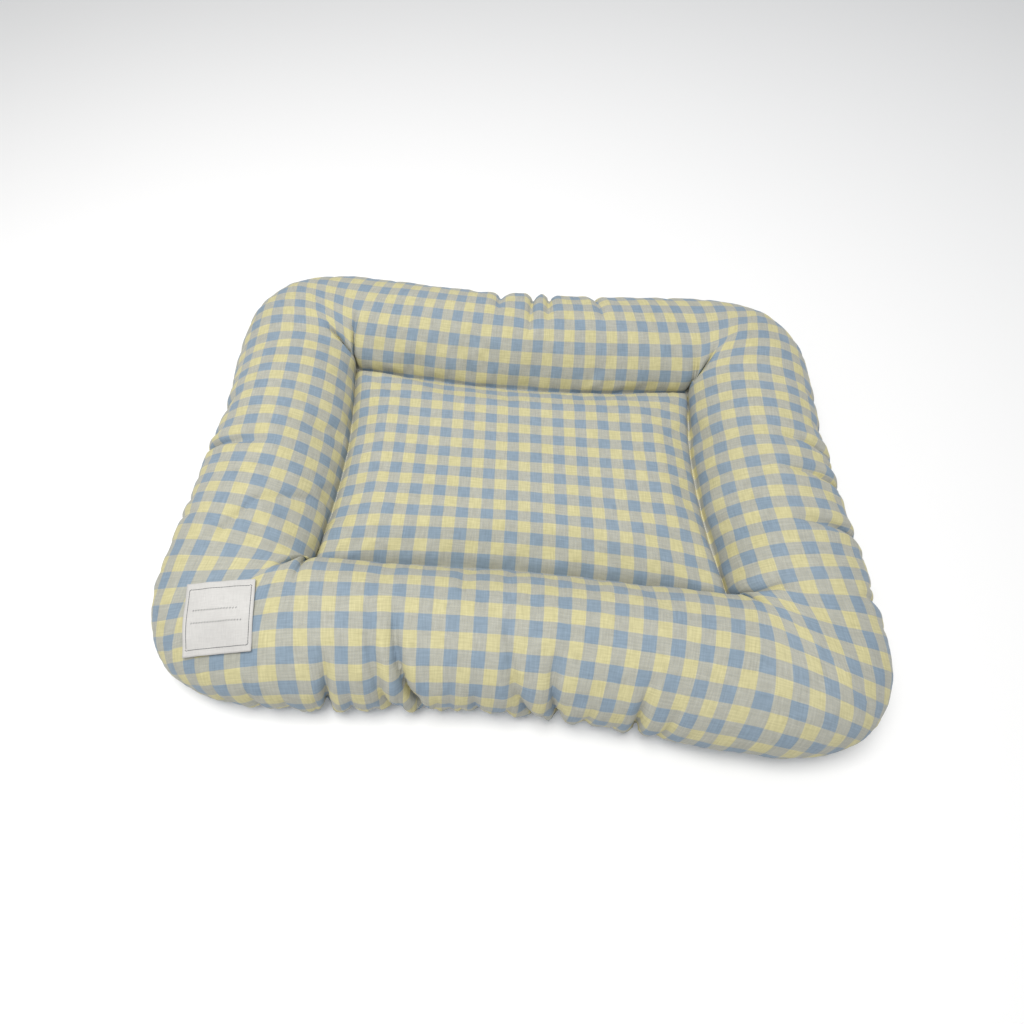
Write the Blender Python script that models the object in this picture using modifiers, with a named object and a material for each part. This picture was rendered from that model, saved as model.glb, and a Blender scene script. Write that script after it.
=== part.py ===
"""Pet cushion bed: one top panel and one base panel of cloth, sewn together round
the outer edge and again round an inner rectangle, so that a stuffed rim stands
round a stuffed pad.

Frame: metres, +Z up, the bed lies on the floor at z = 0, the origin is under the
middle of the bed, +X runs along its long side and -Y is the side with the label.
"""

import math

import bmesh
import bpy
from mathutils import Vector
from mathutils.bvhtree import BVHTree

# Driving sizes, in metres
LENGTH = 0.750                 # overall, along X
WIDTH = 0.600                  # overall, along Y
HEIGHT = 0.090                 # crest of the rim above the floor
RIM_WIDTH = 0.157              # outer edge to inner seam
PAD_CROWN = 0.031              # middle of the pad above the inner seam
CLOTH = 0.0012                 # thickness of a cover panel
THREAD_RADIUS = 0.0004
LABEL_WIDTH = 0.067
LABEL_DEPTH = 0.070
LABEL_THICKNESS = 0.0007

# Tied sizes
PAD_HALF_LENGTH = LENGTH / 2 - RIM_WIDTH
PAD_HALF_WIDTH = WIDTH / 2 - RIM_WIDTH
SEAM_HEIGHT = 0.52 * HEIGHT            # inner seam above the floor
EDGE_SEAM_HEIGHT = 0.17 * HEIGHT       # outer seam above the floor
EDGE_TUCK = 0.127 * RIM_WIDTH          # outer seam inboard of the rim's bulge
ALLOWANCE = 0.100 * RIM_WIDTH          # cloth turned in past the outer seam
TIP_TUCK = EDGE_TUCK + ALLOWANCE + 0.008
FLOOR_TUCK = 0.32 * RIM_WIDTH          # where the rim leaves the floor, outer side
LABEL_X = -0.373 * LENGTH
LABEL_Y = -0.372 * WIDTH
LABEL_TURN = math.radians(4.0)
CLOSED_GAP_HALF = 0.08 * LENGTH        # half the length of the hand-closed gap

# Clearances between pieces that touch
GAP = 0.0003
SHEET_STACK = CLOTH * 3.8 + GAP        # top panel to base panel at the inner seam
THREAD_LIFT = (THREAD_RADIUS + GAP) * 1.7
LABEL_GAP = 0.0006

# Shape of the outline
CORNER_SQUARENESS = 5.0
WAIST_LONG_SIDE = 0.080        # how far the long sides draw in, as a fraction
WAIST_SHORT_SIDE = 0.055
SEAM_BOW = 0.045               # how far the inner seam bows towards the middle
WAIST_CREST_DROP = 0.05        # how much lower the rim is at the middle of a side

# Cage resolution: cells along a long side and a short side of the pad
CELLS_LONG = 8
CELLS_SHORT = 6

COLLECTION_NAME = "pet_cushion_bed"


def clear_scene():
    """Remove every object and material that is already in the file."""
    for obj in list(bpy.data.objects):
        bpy.data.objects.remove(obj, do_unlink=True)
    for material in list(bpy.data.materials):
        bpy.data.materials.remove(material)


def make_collection(name):
    """Make the collection that holds the parts."""
    collection = bpy.data.collections.new(name)
    bpy.context.scene.collection.children.link(collection)
    return collection


def make_material(name, colour, roughness, metallic=0.0):
    """Make a Principled material with a plain colour."""
    material = bpy.data.materials.new(name)
    material.use_nodes = True
    shader = material.node_tree.nodes["Principled BSDF"]
    shader.inputs["Base Color"].default_value = (*colour, 1.0)
    shader.inputs["Roughness"].default_value = roughness
    shader.inputs["Metallic"].default_value = metallic
    return material


# ---------------------------------------------------------------- outline


def spread(step, cells):
    """Place of a grid line from -1 to 1, the lines closer beside the seams."""
    return math.sin(math.pi / 2 * (2.0 * step / cells - 1.0))


def square_directions():
    """Directions of the cage's stations, as points on the unit square.

    They run once round, from the front left corner along the front side.
    """
    along_x = [spread(i, CELLS_LONG) for i in range(CELLS_LONG)]
    along_y = [spread(j, CELLS_SHORT) for j in range(CELLS_SHORT)]
    front = [(s, -1.0) for s in along_x]
    right = [(1.0, s) for s in along_y]
    back = [(-s, 1.0) for s in along_x]
    left = [(-1.0, -s) for s in along_y]
    return front + right + back + left


def waisted_square(dx, dy):
    """Point of the unit outline in the direction of a unit-square point."""
    n = CORNER_SQUARENESS
    reach = (abs(dx) ** n + abs(dy) ** n) ** (-1.0 / n)
    x, y = dx * reach, dy * reach
    waist_x = 1.0 - WAIST_SHORT_SIDE * math.cos(math.pi * y / 2) ** 2
    waist_y = 1.0 - WAIST_LONG_SIDE * math.cos(math.pi * x / 2) ** 2
    return x * waist_x, y * waist_y


def edge_point(dx, dy, fit):
    """Outermost point of the rim, seen from above."""
    x, y = waisted_square(dx, dy)
    return Vector((x * LENGTH / 2 * fit[0], y * WIDTH / 2 * fit[1]))


def seam_point(sx, sy):
    """Point of the pad's rectangle; (sx, sy) run from -1 to 1 across it."""
    bow_x = 1.0 - SEAM_BOW * (1.0 - sy * sy)
    bow_y = 1.0 - SEAM_BOW * (1.0 - sx * sx) * PAD_HALF_LENGTH / PAD_HALF_WIDTH
    return Vector((sx * PAD_HALF_LENGTH * bow_x, sy * PAD_HALF_WIDTH * bow_y))


def crest_height(dx, dy, fit):
    """Height of the rim, a little lower in the middle of each side."""
    middle = 1.0 - min(abs(dx), abs(dy)) ** 2
    return HEIGHT * fit[2] * (1.0 - WAIST_CREST_DROP * middle)


# ---------------------------------------------------------------- panel cages


class Panel:
    """Cage of one cover panel: a pad grid with rim rings joined round it."""

    def __init__(self):
        self.points = []
        self.faces = []
        self.creases = []
        self.index = {}

    def add(self, key, point):
        """Add a cage point under a key and return its index."""
        self.index[key] = len(self.points)
        self.points.append(Vector(point))
        return self.index[key]

    def inner_points(self, depth):
        """Points of the panel moved to its inner side by a depth."""
        mesh = bmesh.new()
        corners = [mesh.verts.new(point) for point in self.points]
        for face in self.faces:
            mesh.faces.new([corners[i] for i in face])
        mesh.normal_update()
        moved = [v.co - v.normal * depth * v.calc_shell_factor() for v in corners]
        mesh.free()
        return {key: moved[i] for key, i in self.index.items()}


def rim_station_cell(station):
    """Grid cell (column, row) of the pad's edge at a station of the rim."""
    front, right = CELLS_LONG, CELLS_LONG + CELLS_SHORT
    back = right + CELLS_LONG
    if station < front:
        return station, 0
    if station < right:
        return CELLS_LONG, station - front
    if station < back:
        return CELLS_LONG - (station - right), CELLS_SHORT
    return 0, CELLS_SHORT - (station - back)


def make_panel(pad_height, section, crease_rings, face_up, fit):
    """Cage of a panel from a pad height function and a rim section function."""
    panel = Panel()
    for row in range(CELLS_SHORT + 1):
        for column in range(CELLS_LONG + 1):
            sx, sy = spread(column, CELLS_LONG), spread(row, CELLS_SHORT)
            plan = seam_point(sx, sy)
            panel.add(("pad", column, row), (plan.x, plan.y, pad_height(sx, sy)))
    quads = []
    for row in range(CELLS_SHORT):
        for column in range(CELLS_LONG):
            cells = [(column, row), (column + 1, row), (column + 1, row + 1), (column, row + 1)]
            quads.append([panel.index[("pad", *cell)] for cell in cells])
    directions = square_directions()
    count = len(directions)
    for station, (dx, dy) in enumerate(directions):
        column, row = rim_station_cell(station)
        panel.index[("rim", 0, station)] = panel.index[("pad", column, row)]
        start = seam_point(dx, dy)
        end = edge_point(dx, dy, fit)
        outward = (end - start).normalized()
        width = (end - start).length
        rings = section(width, crest_height(dx, dy, fit))
        for ring, (across, height) in enumerate(rings, start=1):
            plan = start + outward * across
            panel.add(("rim", ring, station), (plan.x, plan.y, height))
    for ring in range(len(rings)):
        for station in range(count):
            after = (station + 1) % count
            keys = [(ring, station), (ring + 1, station), (ring + 1, after), (ring, after)]
            quads.append([panel.index[("rim", *key)] for key in keys])
            if ring in crease_rings:
                panel.creases.append((panel.index[("rim", ring, station)],
                                      panel.index[("rim", ring, after)]))
    panel.faces = quads if face_up else [list(reversed(quad)) for quad in quads]
    return panel


def top_pad_height(sx, sy):
    """Height of the pad's top: steep beside the seam, flat in the middle."""
    rise = (1.0 - abs(sx) ** 3) * (1.0 - abs(sy) ** 3)
    return SEAM_HEIGHT + PAD_CROWN * math.sqrt(max(rise, 0.0))


def top_rim_section(width, crest):
    """Rim section of the top panel, from the inner seam out and under."""
    return [
        (0.10 * width, SEAM_HEIGHT + 0.45 * (crest - SEAM_HEIGHT)),
        (0.30 * width, 0.96 * crest),
        (0.57 * width, crest),
        (0.84 * width, 0.87 * crest),
        (width, 0.50 * crest),
        (width - EDGE_TUCK, EDGE_SEAM_HEIGHT),
        (width - EDGE_TUCK - ALLOWANCE, EDGE_SEAM_HEIGHT),
    ]


def base_pad_height(sx, sy):
    """Height of the pad's underside: on the floor except beside the seam."""
    reach = max(abs(sx), abs(sy))
    if reach > 0.999:
        return SEAM_HEIGHT - SHEET_STACK
    return 0.40 * SEAM_HEIGHT if reach > 0.80 else 0.0


def base_rim_section(width, crest):
    """Rim section of the base panel, from the inner seam down and out."""
    seam = EDGE_SEAM_HEIGHT - GAP
    return [
        (0.10 * width, 0.45 * SEAM_HEIGHT),
        (0.28 * width, 0.0),
        (width - FLOOR_TUCK, 0.0),
        (width - EDGE_TUCK, seam),
        (width - EDGE_TUCK - ALLOWANCE, seam),
    ]


TOP_CREASES = (0, 6)
BASE_CREASES = (0, 2, 3, 4)


# ---------------------------------------------------------------- solids


def mesh_object(name, points, faces, creases, collection, material):
    """Make a mesh object from a cage."""
    mesh = bpy.data.meshes.new(name)
    mesh.from_pydata([tuple(point) for point in points], [], faces)
    mesh.update()
    if creases:
        marked = {tuple(sorted(pair)) for pair in creases}
        layer = mesh.attributes.new("crease_edge", "FLOAT", "EDGE")
        for edge in mesh.edges:
            if tuple(sorted(edge.vertices)) in marked:
                layer.data[edge.index].value = 1.0
    mesh.polygons.foreach_set("use_smooth", [True] * len(mesh.polygons))
    mesh.materials.append(material)
    obj = bpy.data.objects.new(name, mesh)
    collection.objects.link(obj)
    return obj


def add_subdivision(obj, levels=1):
    """Round a cage off with a Subdivision Surface modifier."""
    modifier = obj.modifiers.new("round_off", "SUBSURF")
    modifier.levels = levels
    modifier.render_levels = levels
    return modifier


def add_thickness(obj, thickness, offset):
    """Give a sheet its thickness."""
    modifier = obj.modifiers.new("cloth_thickness", "SOLIDIFY")
    modifier.thickness = thickness
    modifier.offset = offset
    modifier.use_even_offset = True
    return modifier


def panel_object(name, panel, collection, material):
    """A cover panel: the cage rounded off, then thickened to its inner side."""
    obj = mesh_object(name, panel.points, panel.faces, panel.creases, collection, material)
    add_subdivision(obj)
    add_thickness(obj, CLOTH, -1.0)
    return obj


def rim_fill_object(top, base, fit, collection, material):
    """The rim's filling: a ring that follows both panels from the inside."""
    depth = CLOTH + GAP
    upper, lower = top.inner_points(depth), base.inner_points(depth)
    directions = square_directions()
    count = len(directions)
    points, faces = [], []
    for station, (dx, dy) in enumerate(directions):
        start = seam_point(dx, dy)
        end = edge_point(dx, dy, fit)
        tip = end - (end - start).normalized() * TIP_TUCK
        section = [upper[("rim", ring, station)] for ring in range(1, 6)]
        section.append(Vector((tip.x, tip.y, EDGE_SEAM_HEIGHT)))
        section += [lower[("rim", ring, station)] for ring in (3, 2, 1)]
        points += section
    size = len(points) // count
    for station in range(count):
        after = (station + 1) % count
        for k in range(size):
            m = (k + 1) % size
            faces.append((station * size + k, station * size + m,
                          after * size + m, after * size + k))
    obj = mesh_object("rim_fill", points, faces, [], collection, material)
    add_subdivision(obj)
    return obj


def pad_fill_object(top, base, collection, material):
    """The pad's filling: a cushion between the panels, inside the inner seam."""
    depth = CLOTH + GAP
    sides = {"upper": top.inner_points(depth), "lower": base.inner_points(depth)}
    last_column, last_row = CELLS_LONG - 1, CELLS_SHORT - 1
    points, faces, index = [], [], {}
    for side, source in sides.items():
        for row in range(1, last_row + 1):
            for column in range(1, last_column + 1):
                index[(side, column, row)] = len(points)
                points.append(source[("pad", column, row)])
    for side in sides:
        for row in range(1, last_row):
            for column in range(1, last_column):
                cells = [(column, row), (column + 1, row), (column + 1, row + 1), (column, row + 1)]
                quad = [index[(side, *cell)] for cell in cells]
                faces.append(quad if side == "upper" else quad[::-1])
    loop = [(column, 1) for column in range(1, last_column)]
    loop += [(last_column, row) for row in range(1, last_row)]
    loop += [(column, last_row) for column in range(last_column, 1, -1)]
    loop += [(1, row) for row in range(last_row, 1, -1)]
    for here, after in zip(loop, loop[1:] + loop[:1]):
        faces.append([index[("lower", *here)], index[("lower", *after)],
                      index[("upper", *after)], index[("upper", *here)]])
    obj = mesh_object("pad_fill", points, faces, [], collection, material)
    add_subdivision(obj)
    return obj


# ---------------------------------------------------------------- threads


def rounded_ring(panel, ring):
    """A ring of a panel as the rounded-off panel carries it.

    The rounded ring is the cage ring's cubic B-spline, with a point at each
    station and one between each two.
    """
    count = len(square_directions())
    cage = [panel.points[panel.index[("rim", ring, s)]] for s in range(count)]
    path = []
    for k in range(count):
        before, here = cage[k - 1], cage[k]
        after, later = cage[(k + 1) % count], cage[(k + 2) % count]
        path.append((before + here * 4 + after) / 6)
        path.append((before + here * 23 + after * 23 + later) / 48)
    return path


def thread_object(name, path, closed, collection, material):
    """A sewing thread as a round tube along a path."""
    curve = bpy.data.curves.new(name, "CURVE")
    curve.dimensions = "3D"
    curve.bevel_depth = THREAD_RADIUS
    curve.bevel_resolution = 0
    curve.use_fill_caps = True
    spline = curve.splines.new("POLY")
    spline.points.add(len(path) - 1)
    for point, place in zip(spline.points, path):
        point.co = (place.x, place.y, place.z, 1.0)
    spline.use_cyclic_u = closed
    spline.use_smooth = True
    curve.materials.append(material)
    obj = bpy.data.objects.new(name, curve)
    collection.objects.link(obj)
    return obj


def shifted(path, rise):
    """A path moved up by a distance."""
    return [point + Vector((0, 0, rise)) for point in path]


def allowance_path(panel, outer_ring, share):
    """A path on the turned-in allowance, a share of the way in from its fold."""
    fold = rounded_ring(panel, outer_ring)
    end = rounded_ring(panel, outer_ring + 1)
    return [a.lerp(b, share) for a, b in zip(fold, end)]


def closing_path(panel):
    """The part of the outer seam, at the back, that is closed by hand."""
    fold = [p for p in rounded_ring(panel, 6) if p.y > 0]
    fold.sort(key=lambda p: p.x)
    path = []
    for a, b in zip(fold, fold[1:]):
        for limit in (-CLOSED_GAP_HALF, CLOSED_GAP_HALF):
            if a.x <= limit < b.x:
                path.append(a.lerp(b, (limit - a.x) / (b.x - a.x)))
        if abs(b.x) < CLOSED_GAP_HALF:
            path.append(b)
    reach = THREAD_RADIUS + GAP
    return [p + Vector((0, reach * 1.2, -reach * 0.6)) for p in path]


# ---------------------------------------------------------------- label


def surface_tree(obj):
    """Search tree over the finished surface of an object."""
    depsgraph = bpy.context.evaluated_depsgraph_get()
    return BVHTree.FromObject(obj, depsgraph)


def dropped_point(tree, x, y, lift):
    """Point above (x, y) at a distance from the surface below it."""
    place, normal, _, _ = tree.ray_cast(Vector((x, y, 1.0)), Vector((0, 0, -1)))
    return place + normal * lift


def label_plan(u, v):
    """Plan position of a label point; u and v run from -0.5 to 0.5."""
    along = Vector((math.cos(LABEL_TURN), math.sin(LABEL_TURN)))
    across = Vector((-along.y, along.x))
    return Vector((LABEL_X, LABEL_Y)) + along * u * LABEL_WIDTH + across * v * LABEL_DEPTH


def label_object(tree, cells, collection, material):
    """The woven label, laid on the rim at the front left corner."""
    points, faces = [], []
    for row in range(cells + 1):
        for column in range(cells + 1):
            plan = label_plan(column / cells - 0.5, row / cells - 0.5)
            points.append(dropped_point(tree, plan.x, plan.y, LABEL_GAP))
    side = cells + 1
    for row in range(cells):
        for column in range(cells):
            first = row * side + column
            faces.append((first, first + 1, first + side + 1, first + side))
    obj = mesh_object("label", points, faces, [], collection, material)
    add_thickness(obj, LABEL_THICKNESS, 1.0)
    return obj


def label_thread_path(tree, inset, steps):
    """The stitch line round the label, a little inside its edges."""
    half = 0.5 - inset
    corners = [(-half, -half), (half, -half), (half, half), (-half, half)]
    path = []
    for (ua, va), (ub, vb) in zip(corners, corners[1:] + corners[:1]):
        for k in range(steps):
            t = k / steps
            plan = label_plan(ua + (ub - ua) * t, va + (vb - va) * t)
            path.append(dropped_point(tree, plan.x, plan.y, THREAD_RADIUS + GAP))
    return path


# ---------------------------------------------------------------- assembly


def make_panels(fit):
    """Both cover panels for a given cage fit."""
    top = make_panel(top_pad_height, top_rim_section, TOP_CREASES, True, fit)
    base = make_panel(base_pad_height, base_rim_section, BASE_CREASES, False, fit)
    return top, base


def cage_fit(collection, material):
    """How much larger the cage is than the rounded-off bed, on each axis."""
    fit = (1.0, 1.0, 1.0)
    for _ in range(3):
        top, _ = make_panels(fit)
        obj = mesh_object("trial", top.points, top.faces, top.creases, collection, material)
        add_subdivision(obj)
        finished = obj.evaluated_get(bpy.context.evaluated_depsgraph_get())
        places = [v.co for v in finished.data.vertices]
        reach = (max(p.x for p in places), max(p.y for p in places), max(p.z for p in places))
        target = (LENGTH / 2, WIDTH / 2, HEIGHT)
        fit = tuple(f * t / r for f, t, r in zip(fit, target, reach))
        bpy.data.objects.remove(obj, do_unlink=True)
    return fit


def build():
    """Build every piece of the bed."""
    clear_scene()
    collection = make_collection(COLLECTION_NAME)
    cloth = make_material("checked_cloth", (0.70, 0.78, 0.74), 0.85)
    base_cloth = make_material("base_cloth", (0.72, 0.79, 0.76), 0.88)
    fibre = make_material("rim_fibre", (0.93, 0.93, 0.92), 0.95)
    pad_fibre = make_material("pad_fibre", (0.92, 0.92, 0.91), 0.95)
    label_cloth = make_material("label_cloth", (0.92, 0.92, 0.90), 0.80)
    grey_thread = make_material("label_thread_grey", (0.30, 0.31, 0.33), 0.70)
    seam_thread = make_material("seam_thread_white", (0.86, 0.87, 0.86), 0.70)

    fit = cage_fit(collection, cloth)
    top, base = make_panels(fit)
    cover = panel_object("top_cover", top, collection, cloth)
    panel_object("base_cover", base, collection, base_cloth)
    rim_fill_object(top, base, fit, collection, fibre)
    pad_fill_object(top, base, collection, pad_fibre)

    seam_top = shifted(rounded_ring(top, 0), THREAD_LIFT)
    seam_base = shifted(rounded_ring(base, 0), -THREAD_LIFT)
    thread_object("pad_seam_needle_thread", seam_top, True, collection, seam_thread)
    thread_object("pad_seam_bobbin_thread", seam_base, True, collection, seam_thread)

    reach = CLOTH + GAP + THREAD_RADIUS
    inside_top = shifted(allowance_path(top, 6, 0.60), reach)
    inside_base = shifted(allowance_path(base, 4, 0.60), -reach)
    thread_object("rim_seam_needle_thread", inside_top, True, collection, seam_thread)
    thread_object("rim_seam_bobbin_thread", inside_base, True, collection, seam_thread)
    thread_object("closing_thread", closing_path(top), False, collection, seam_thread)

    label = label_object(surface_tree(cover), 14, collection, label_cloth)
    path = label_thread_path(surface_tree(label), 0.085, 8)
    thread_object("label_thread", path, True, collection, grey_thread)


build()
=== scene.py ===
"""Pet cushion bed: a gingham cover over a stuffed rim and a stuffed middle pad.

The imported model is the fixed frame, and gives the outer size, the inner seam's plan
and the outer seam's height. Two cover panels are cut flat, blown up with Blender's
cloth solver and scaled to the frame's box, then finished with small puckers. Both
seams start at the outer seam's height, so the inner seam and the pad's middle end up
about 22 mm lower than the frame's own. Stitches are laid along the seams by Geometry
Nodes. Sizes are in metres.
"""

from __future__ import annotations

import logging
import math
from dataclasses import dataclass, field
from enum import Enum

import bpy
import numpy as np
from mathutils import Matrix, Vector
from mathutils.bvhtree import BVHTree


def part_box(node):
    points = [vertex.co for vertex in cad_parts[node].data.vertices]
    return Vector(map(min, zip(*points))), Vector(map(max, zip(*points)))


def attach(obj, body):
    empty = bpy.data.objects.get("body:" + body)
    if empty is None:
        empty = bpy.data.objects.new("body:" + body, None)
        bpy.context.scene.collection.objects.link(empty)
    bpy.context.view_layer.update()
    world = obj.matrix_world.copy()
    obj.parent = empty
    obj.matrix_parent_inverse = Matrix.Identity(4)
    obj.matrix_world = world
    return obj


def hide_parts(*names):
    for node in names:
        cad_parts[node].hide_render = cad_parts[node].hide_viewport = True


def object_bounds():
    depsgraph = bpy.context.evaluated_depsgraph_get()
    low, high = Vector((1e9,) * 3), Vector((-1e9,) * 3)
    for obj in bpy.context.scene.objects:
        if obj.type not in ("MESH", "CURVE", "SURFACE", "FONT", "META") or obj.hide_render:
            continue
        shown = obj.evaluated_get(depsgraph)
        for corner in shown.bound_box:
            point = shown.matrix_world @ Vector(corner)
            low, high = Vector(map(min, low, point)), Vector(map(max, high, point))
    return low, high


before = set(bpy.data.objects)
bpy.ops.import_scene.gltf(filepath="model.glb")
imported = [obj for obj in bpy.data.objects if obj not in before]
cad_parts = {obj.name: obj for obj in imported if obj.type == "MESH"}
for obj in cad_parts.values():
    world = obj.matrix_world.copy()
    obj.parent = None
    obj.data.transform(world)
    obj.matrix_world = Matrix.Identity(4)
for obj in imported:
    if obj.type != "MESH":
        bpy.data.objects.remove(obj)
CAD_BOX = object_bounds()

LOG = logging.getLogger("pet_cushion_bed")
PANEL_MARKS = ("to_inner", "to_outer", "cut_x", "cut_y")
ROOT = "root"
UV_NAME = "cut"
UP_NAME = "stitch_up"
Array = np.ndarray
Colour = tuple[float, float, float, float]

# How the solver treats the cover's thin cotton.
CLOTH_SETTINGS = {
    "quality": 6,
    "mass": 0.005,
    "tension_stiffness": 80,
    "compression_stiffness": 80,
    "shear_stiffness": 8,
    "bending_stiffness": 0.001,
    "tension_damping": 0.5,
    "compression_damping": 0.5,
    "shear_damping": 0.5,
    "bending_damping": 0.05,
    "air_damping": 0.5,
}


# --------------------------------------------------------------------------
# Named options
# --------------------------------------------------------------------------


class Panel(Enum):
    """The two cover panels."""

    TOP = "top"
    BASE = "base"


class Side(Enum):
    """A side of the bed: the axis that runs along it, and the way it faces."""

    FRONT = ("x", -1)
    BACK = ("x", 1)
    LEFT = ("y", -1)
    RIGHT = ("y", 1)

    @property
    def along_x(self) -> bool:
        """True for the two long sides."""
        return self.value[0] == "x"

    @property
    def facing(self) -> int:
        """The sign of the outward direction."""
        return self.value[1]


# --------------------------------------------------------------------------
# Small helpers
# --------------------------------------------------------------------------


class Graph:
    """Adds nodes to one node tree and joins them."""

    def __init__(self, tree: bpy.types.NodeTree) -> None:
        """Keeps the tree that the nodes go in.

        Args:
            tree: A shader or geometry node tree.
        """
        self.tree = tree

    def node(self, kind: str, **settings: object) -> bpy.types.Node:
        """Adds a node.

        Args:
            kind: The node's type name.
            **settings: Node properties to set.

        Returns:
            The new node.
        """
        node = self.tree.nodes.new(kind)
        for name, value in settings.items():
            setattr(node, name, value)
        return node

    def feed(self, socket: bpy.types.NodeSocket, value: object) -> None:
        """Joins a socket to another, or sets its value.

        Args:
            socket: The input socket.
            value: An output socket, a number, a colour or a vector.
        """
        if isinstance(value, bpy.types.NodeSocket):
            self.tree.links.new(value, socket)
        elif value is not None:
            socket.default_value = value

    def math(
        self, operation: str, first: object, second: object = None, third: object = None
    ) -> bpy.types.NodeSocket:
        """Adds a Math node.

        Args:
            operation: The operation's name.
            first: The first value or socket.
            second: The second one, where the operation has it.
            third: The third one, where the operation has it.

        Returns:
            The result's socket.
        """
        node = self.node("ShaderNodeMath", operation=operation)
        for socket, value in zip(node.inputs, (first, second, third)):
            self.feed(socket, value)
        return node.outputs[0]

    def mix(self, factor: object, first: object, second: object) -> bpy.types.NodeSocket:
        """Mixes two colours.

        Args:
            factor: 0 for the first, 1 for the second.
            first: A colour or socket.
            second: A colour or socket.

        Returns:
            The mixed colour's socket.
        """
        node = self.node("ShaderNodeMix", data_type="RGBA")
        self.feed(node.inputs[0], factor)
        self.feed(node.inputs[6], first)
        self.feed(node.inputs[7], second)
        return node.outputs[2]

    def scaled(self, vector: object, scale: tuple[float, float, float]) -> bpy.types.NodeSocket:
        """Stretches a texture vector.

        Args:
            vector: The vector's socket.
            scale: The stretch along each axis.

        Returns:
            The stretched vector's socket.
        """
        node = self.node("ShaderNodeMapping")
        self.feed(node.inputs["Vector"], vector)
        node.inputs["Scale"].default_value = scale
        return node.outputs[0]

    def noise(self, vector: object, scale: float, detail: float = 2.0) -> bpy.types.NodeSocket:
        """Adds a noise texture.

        Args:
            vector: The vector's socket.
            scale: Repeats in a metre.
            detail: Octaves.

        Returns:
            The noise value's socket.
        """
        node = self.node("ShaderNodeTexNoise")
        self.feed(node.inputs["Vector"], vector)
        node.inputs["Scale"].default_value = scale
        node.inputs["Detail"].default_value = detail
        return node.outputs[0]

    def spread(
        self, value: object, low: float, high: float, to_low: float, to_high: float
    ) -> bpy.types.NodeSocket:
        """Maps one range onto another, held at its ends.

        Args:
            value: The value's socket.
            low: Start of the range read.
            high: End of the range read.
            to_low: Start of the range given.
            to_high: End of the range given.

        Returns:
            The mapped value's socket.
        """
        node = self.node("ShaderNodeMapRange", clamp=True)
        for socket, number in zip(node.inputs, (value, low, high, to_low, to_high)):
            self.feed(socket, number)
        return node.outputs[0]


def add_object(mesh: bpy.types.Mesh, name: str) -> bpy.types.Object:
    """Puts a mesh in the scene at the origin.

    Args:
        mesh: The mesh.
        name: The object's name.

    Returns:
        The new object.
    """
    piece = bpy.data.objects.new(name, mesh)
    bpy.context.scene.collection.objects.link(piece)
    return piece


def remove_object(piece: bpy.types.Object) -> None:
    """Takes a helper object and its mesh out of the file."""
    mesh = piece.data
    bpy.data.objects.remove(piece)
    if mesh.users == 0:
        bpy.data.meshes.remove(mesh)


def plain_mesh(piece: bpy.types.Object, name: str) -> bpy.types.Mesh:
    """Applies a piece's modifiers.

    Args:
        piece: An object with modifiers.
        name: The name of the mesh made.

    Returns:
        A plain mesh of the evaluated object.
    """
    graph = bpy.context.evaluated_depsgraph_get()
    graph.update()
    mesh = bpy.data.meshes.new_from_object(piece.evaluated_get(graph), depsgraph=graph)
    mesh.name = name
    return mesh


def points_of(mesh: bpy.types.Mesh) -> Array:
    """Reads a mesh's points as rows of x, y, z."""
    flat = np.empty(len(mesh.vertices) * 3, dtype=np.float32)
    mesh.vertices.foreach_get("co", flat)
    return flat.reshape(-1, 3).astype(float)


def set_points(mesh: bpy.types.Mesh, points: Array) -> None:
    """Moves a mesh's points to the given rows."""
    mesh.vertices.foreach_set("co", points.astype(np.float32).ravel())
    mesh.update()


def normals_of(mesh: bpy.types.Mesh) -> Array:
    """Reads a mesh's point normals as rows."""
    flat = np.empty(len(mesh.vertices) * 3, dtype=np.float32)
    mesh.vertices.foreach_get("normal", flat)
    return flat.reshape(-1, 3).astype(float)


def ripple(values: Array, lengths: tuple[float, ...], seed: int) -> Array:
    """Adds sine waves of mixed lengths into an uneven ripple between -1 and 1.

    Args:
        values: Where along the line each point is.
        lengths: The wave lengths.
        seed: The seed of the waves' phases.

    Returns:
        The ripple at each point.
    """
    rng = np.random.default_rng(seed)
    total = np.zeros_like(values)
    for length in lengths:
        total += np.sin(2 * math.pi * values / length + rng.uniform(0, 2 * math.pi))
    return total / len(lengths)


# --------------------------------------------------------------------------
# Finishes
# --------------------------------------------------------------------------


def new_group(
    name: str, given: tuple[str, ...], made: tuple[str, ...]
) -> tuple[bpy.types.NodeTree, Graph, bpy.types.Node, bpy.types.Node]:
    """Starts a shader node group whose first input is a vector and the rest plain values.

    Args:
        name: The group's name.
        given: The names of the value inputs after Vector.
        made: The names of the value outputs.

    Returns:
        The group, its graph, its input node and its output node.
    """
    tree = bpy.data.node_groups.new(name, "ShaderNodeTree")
    tree.interface.new_socket("Vector", in_out="INPUT", socket_type="NodeSocketVector")
    for way, labels in (("INPUT", given), ("OUTPUT", made)):
        for label in labels:
            tree.interface.new_socket(label, in_out=way, socket_type="NodeSocketFloat")
    g = Graph(tree)
    return tree, g, g.node("NodeGroupInput"), g.node("NodeGroupOutput")


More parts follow.
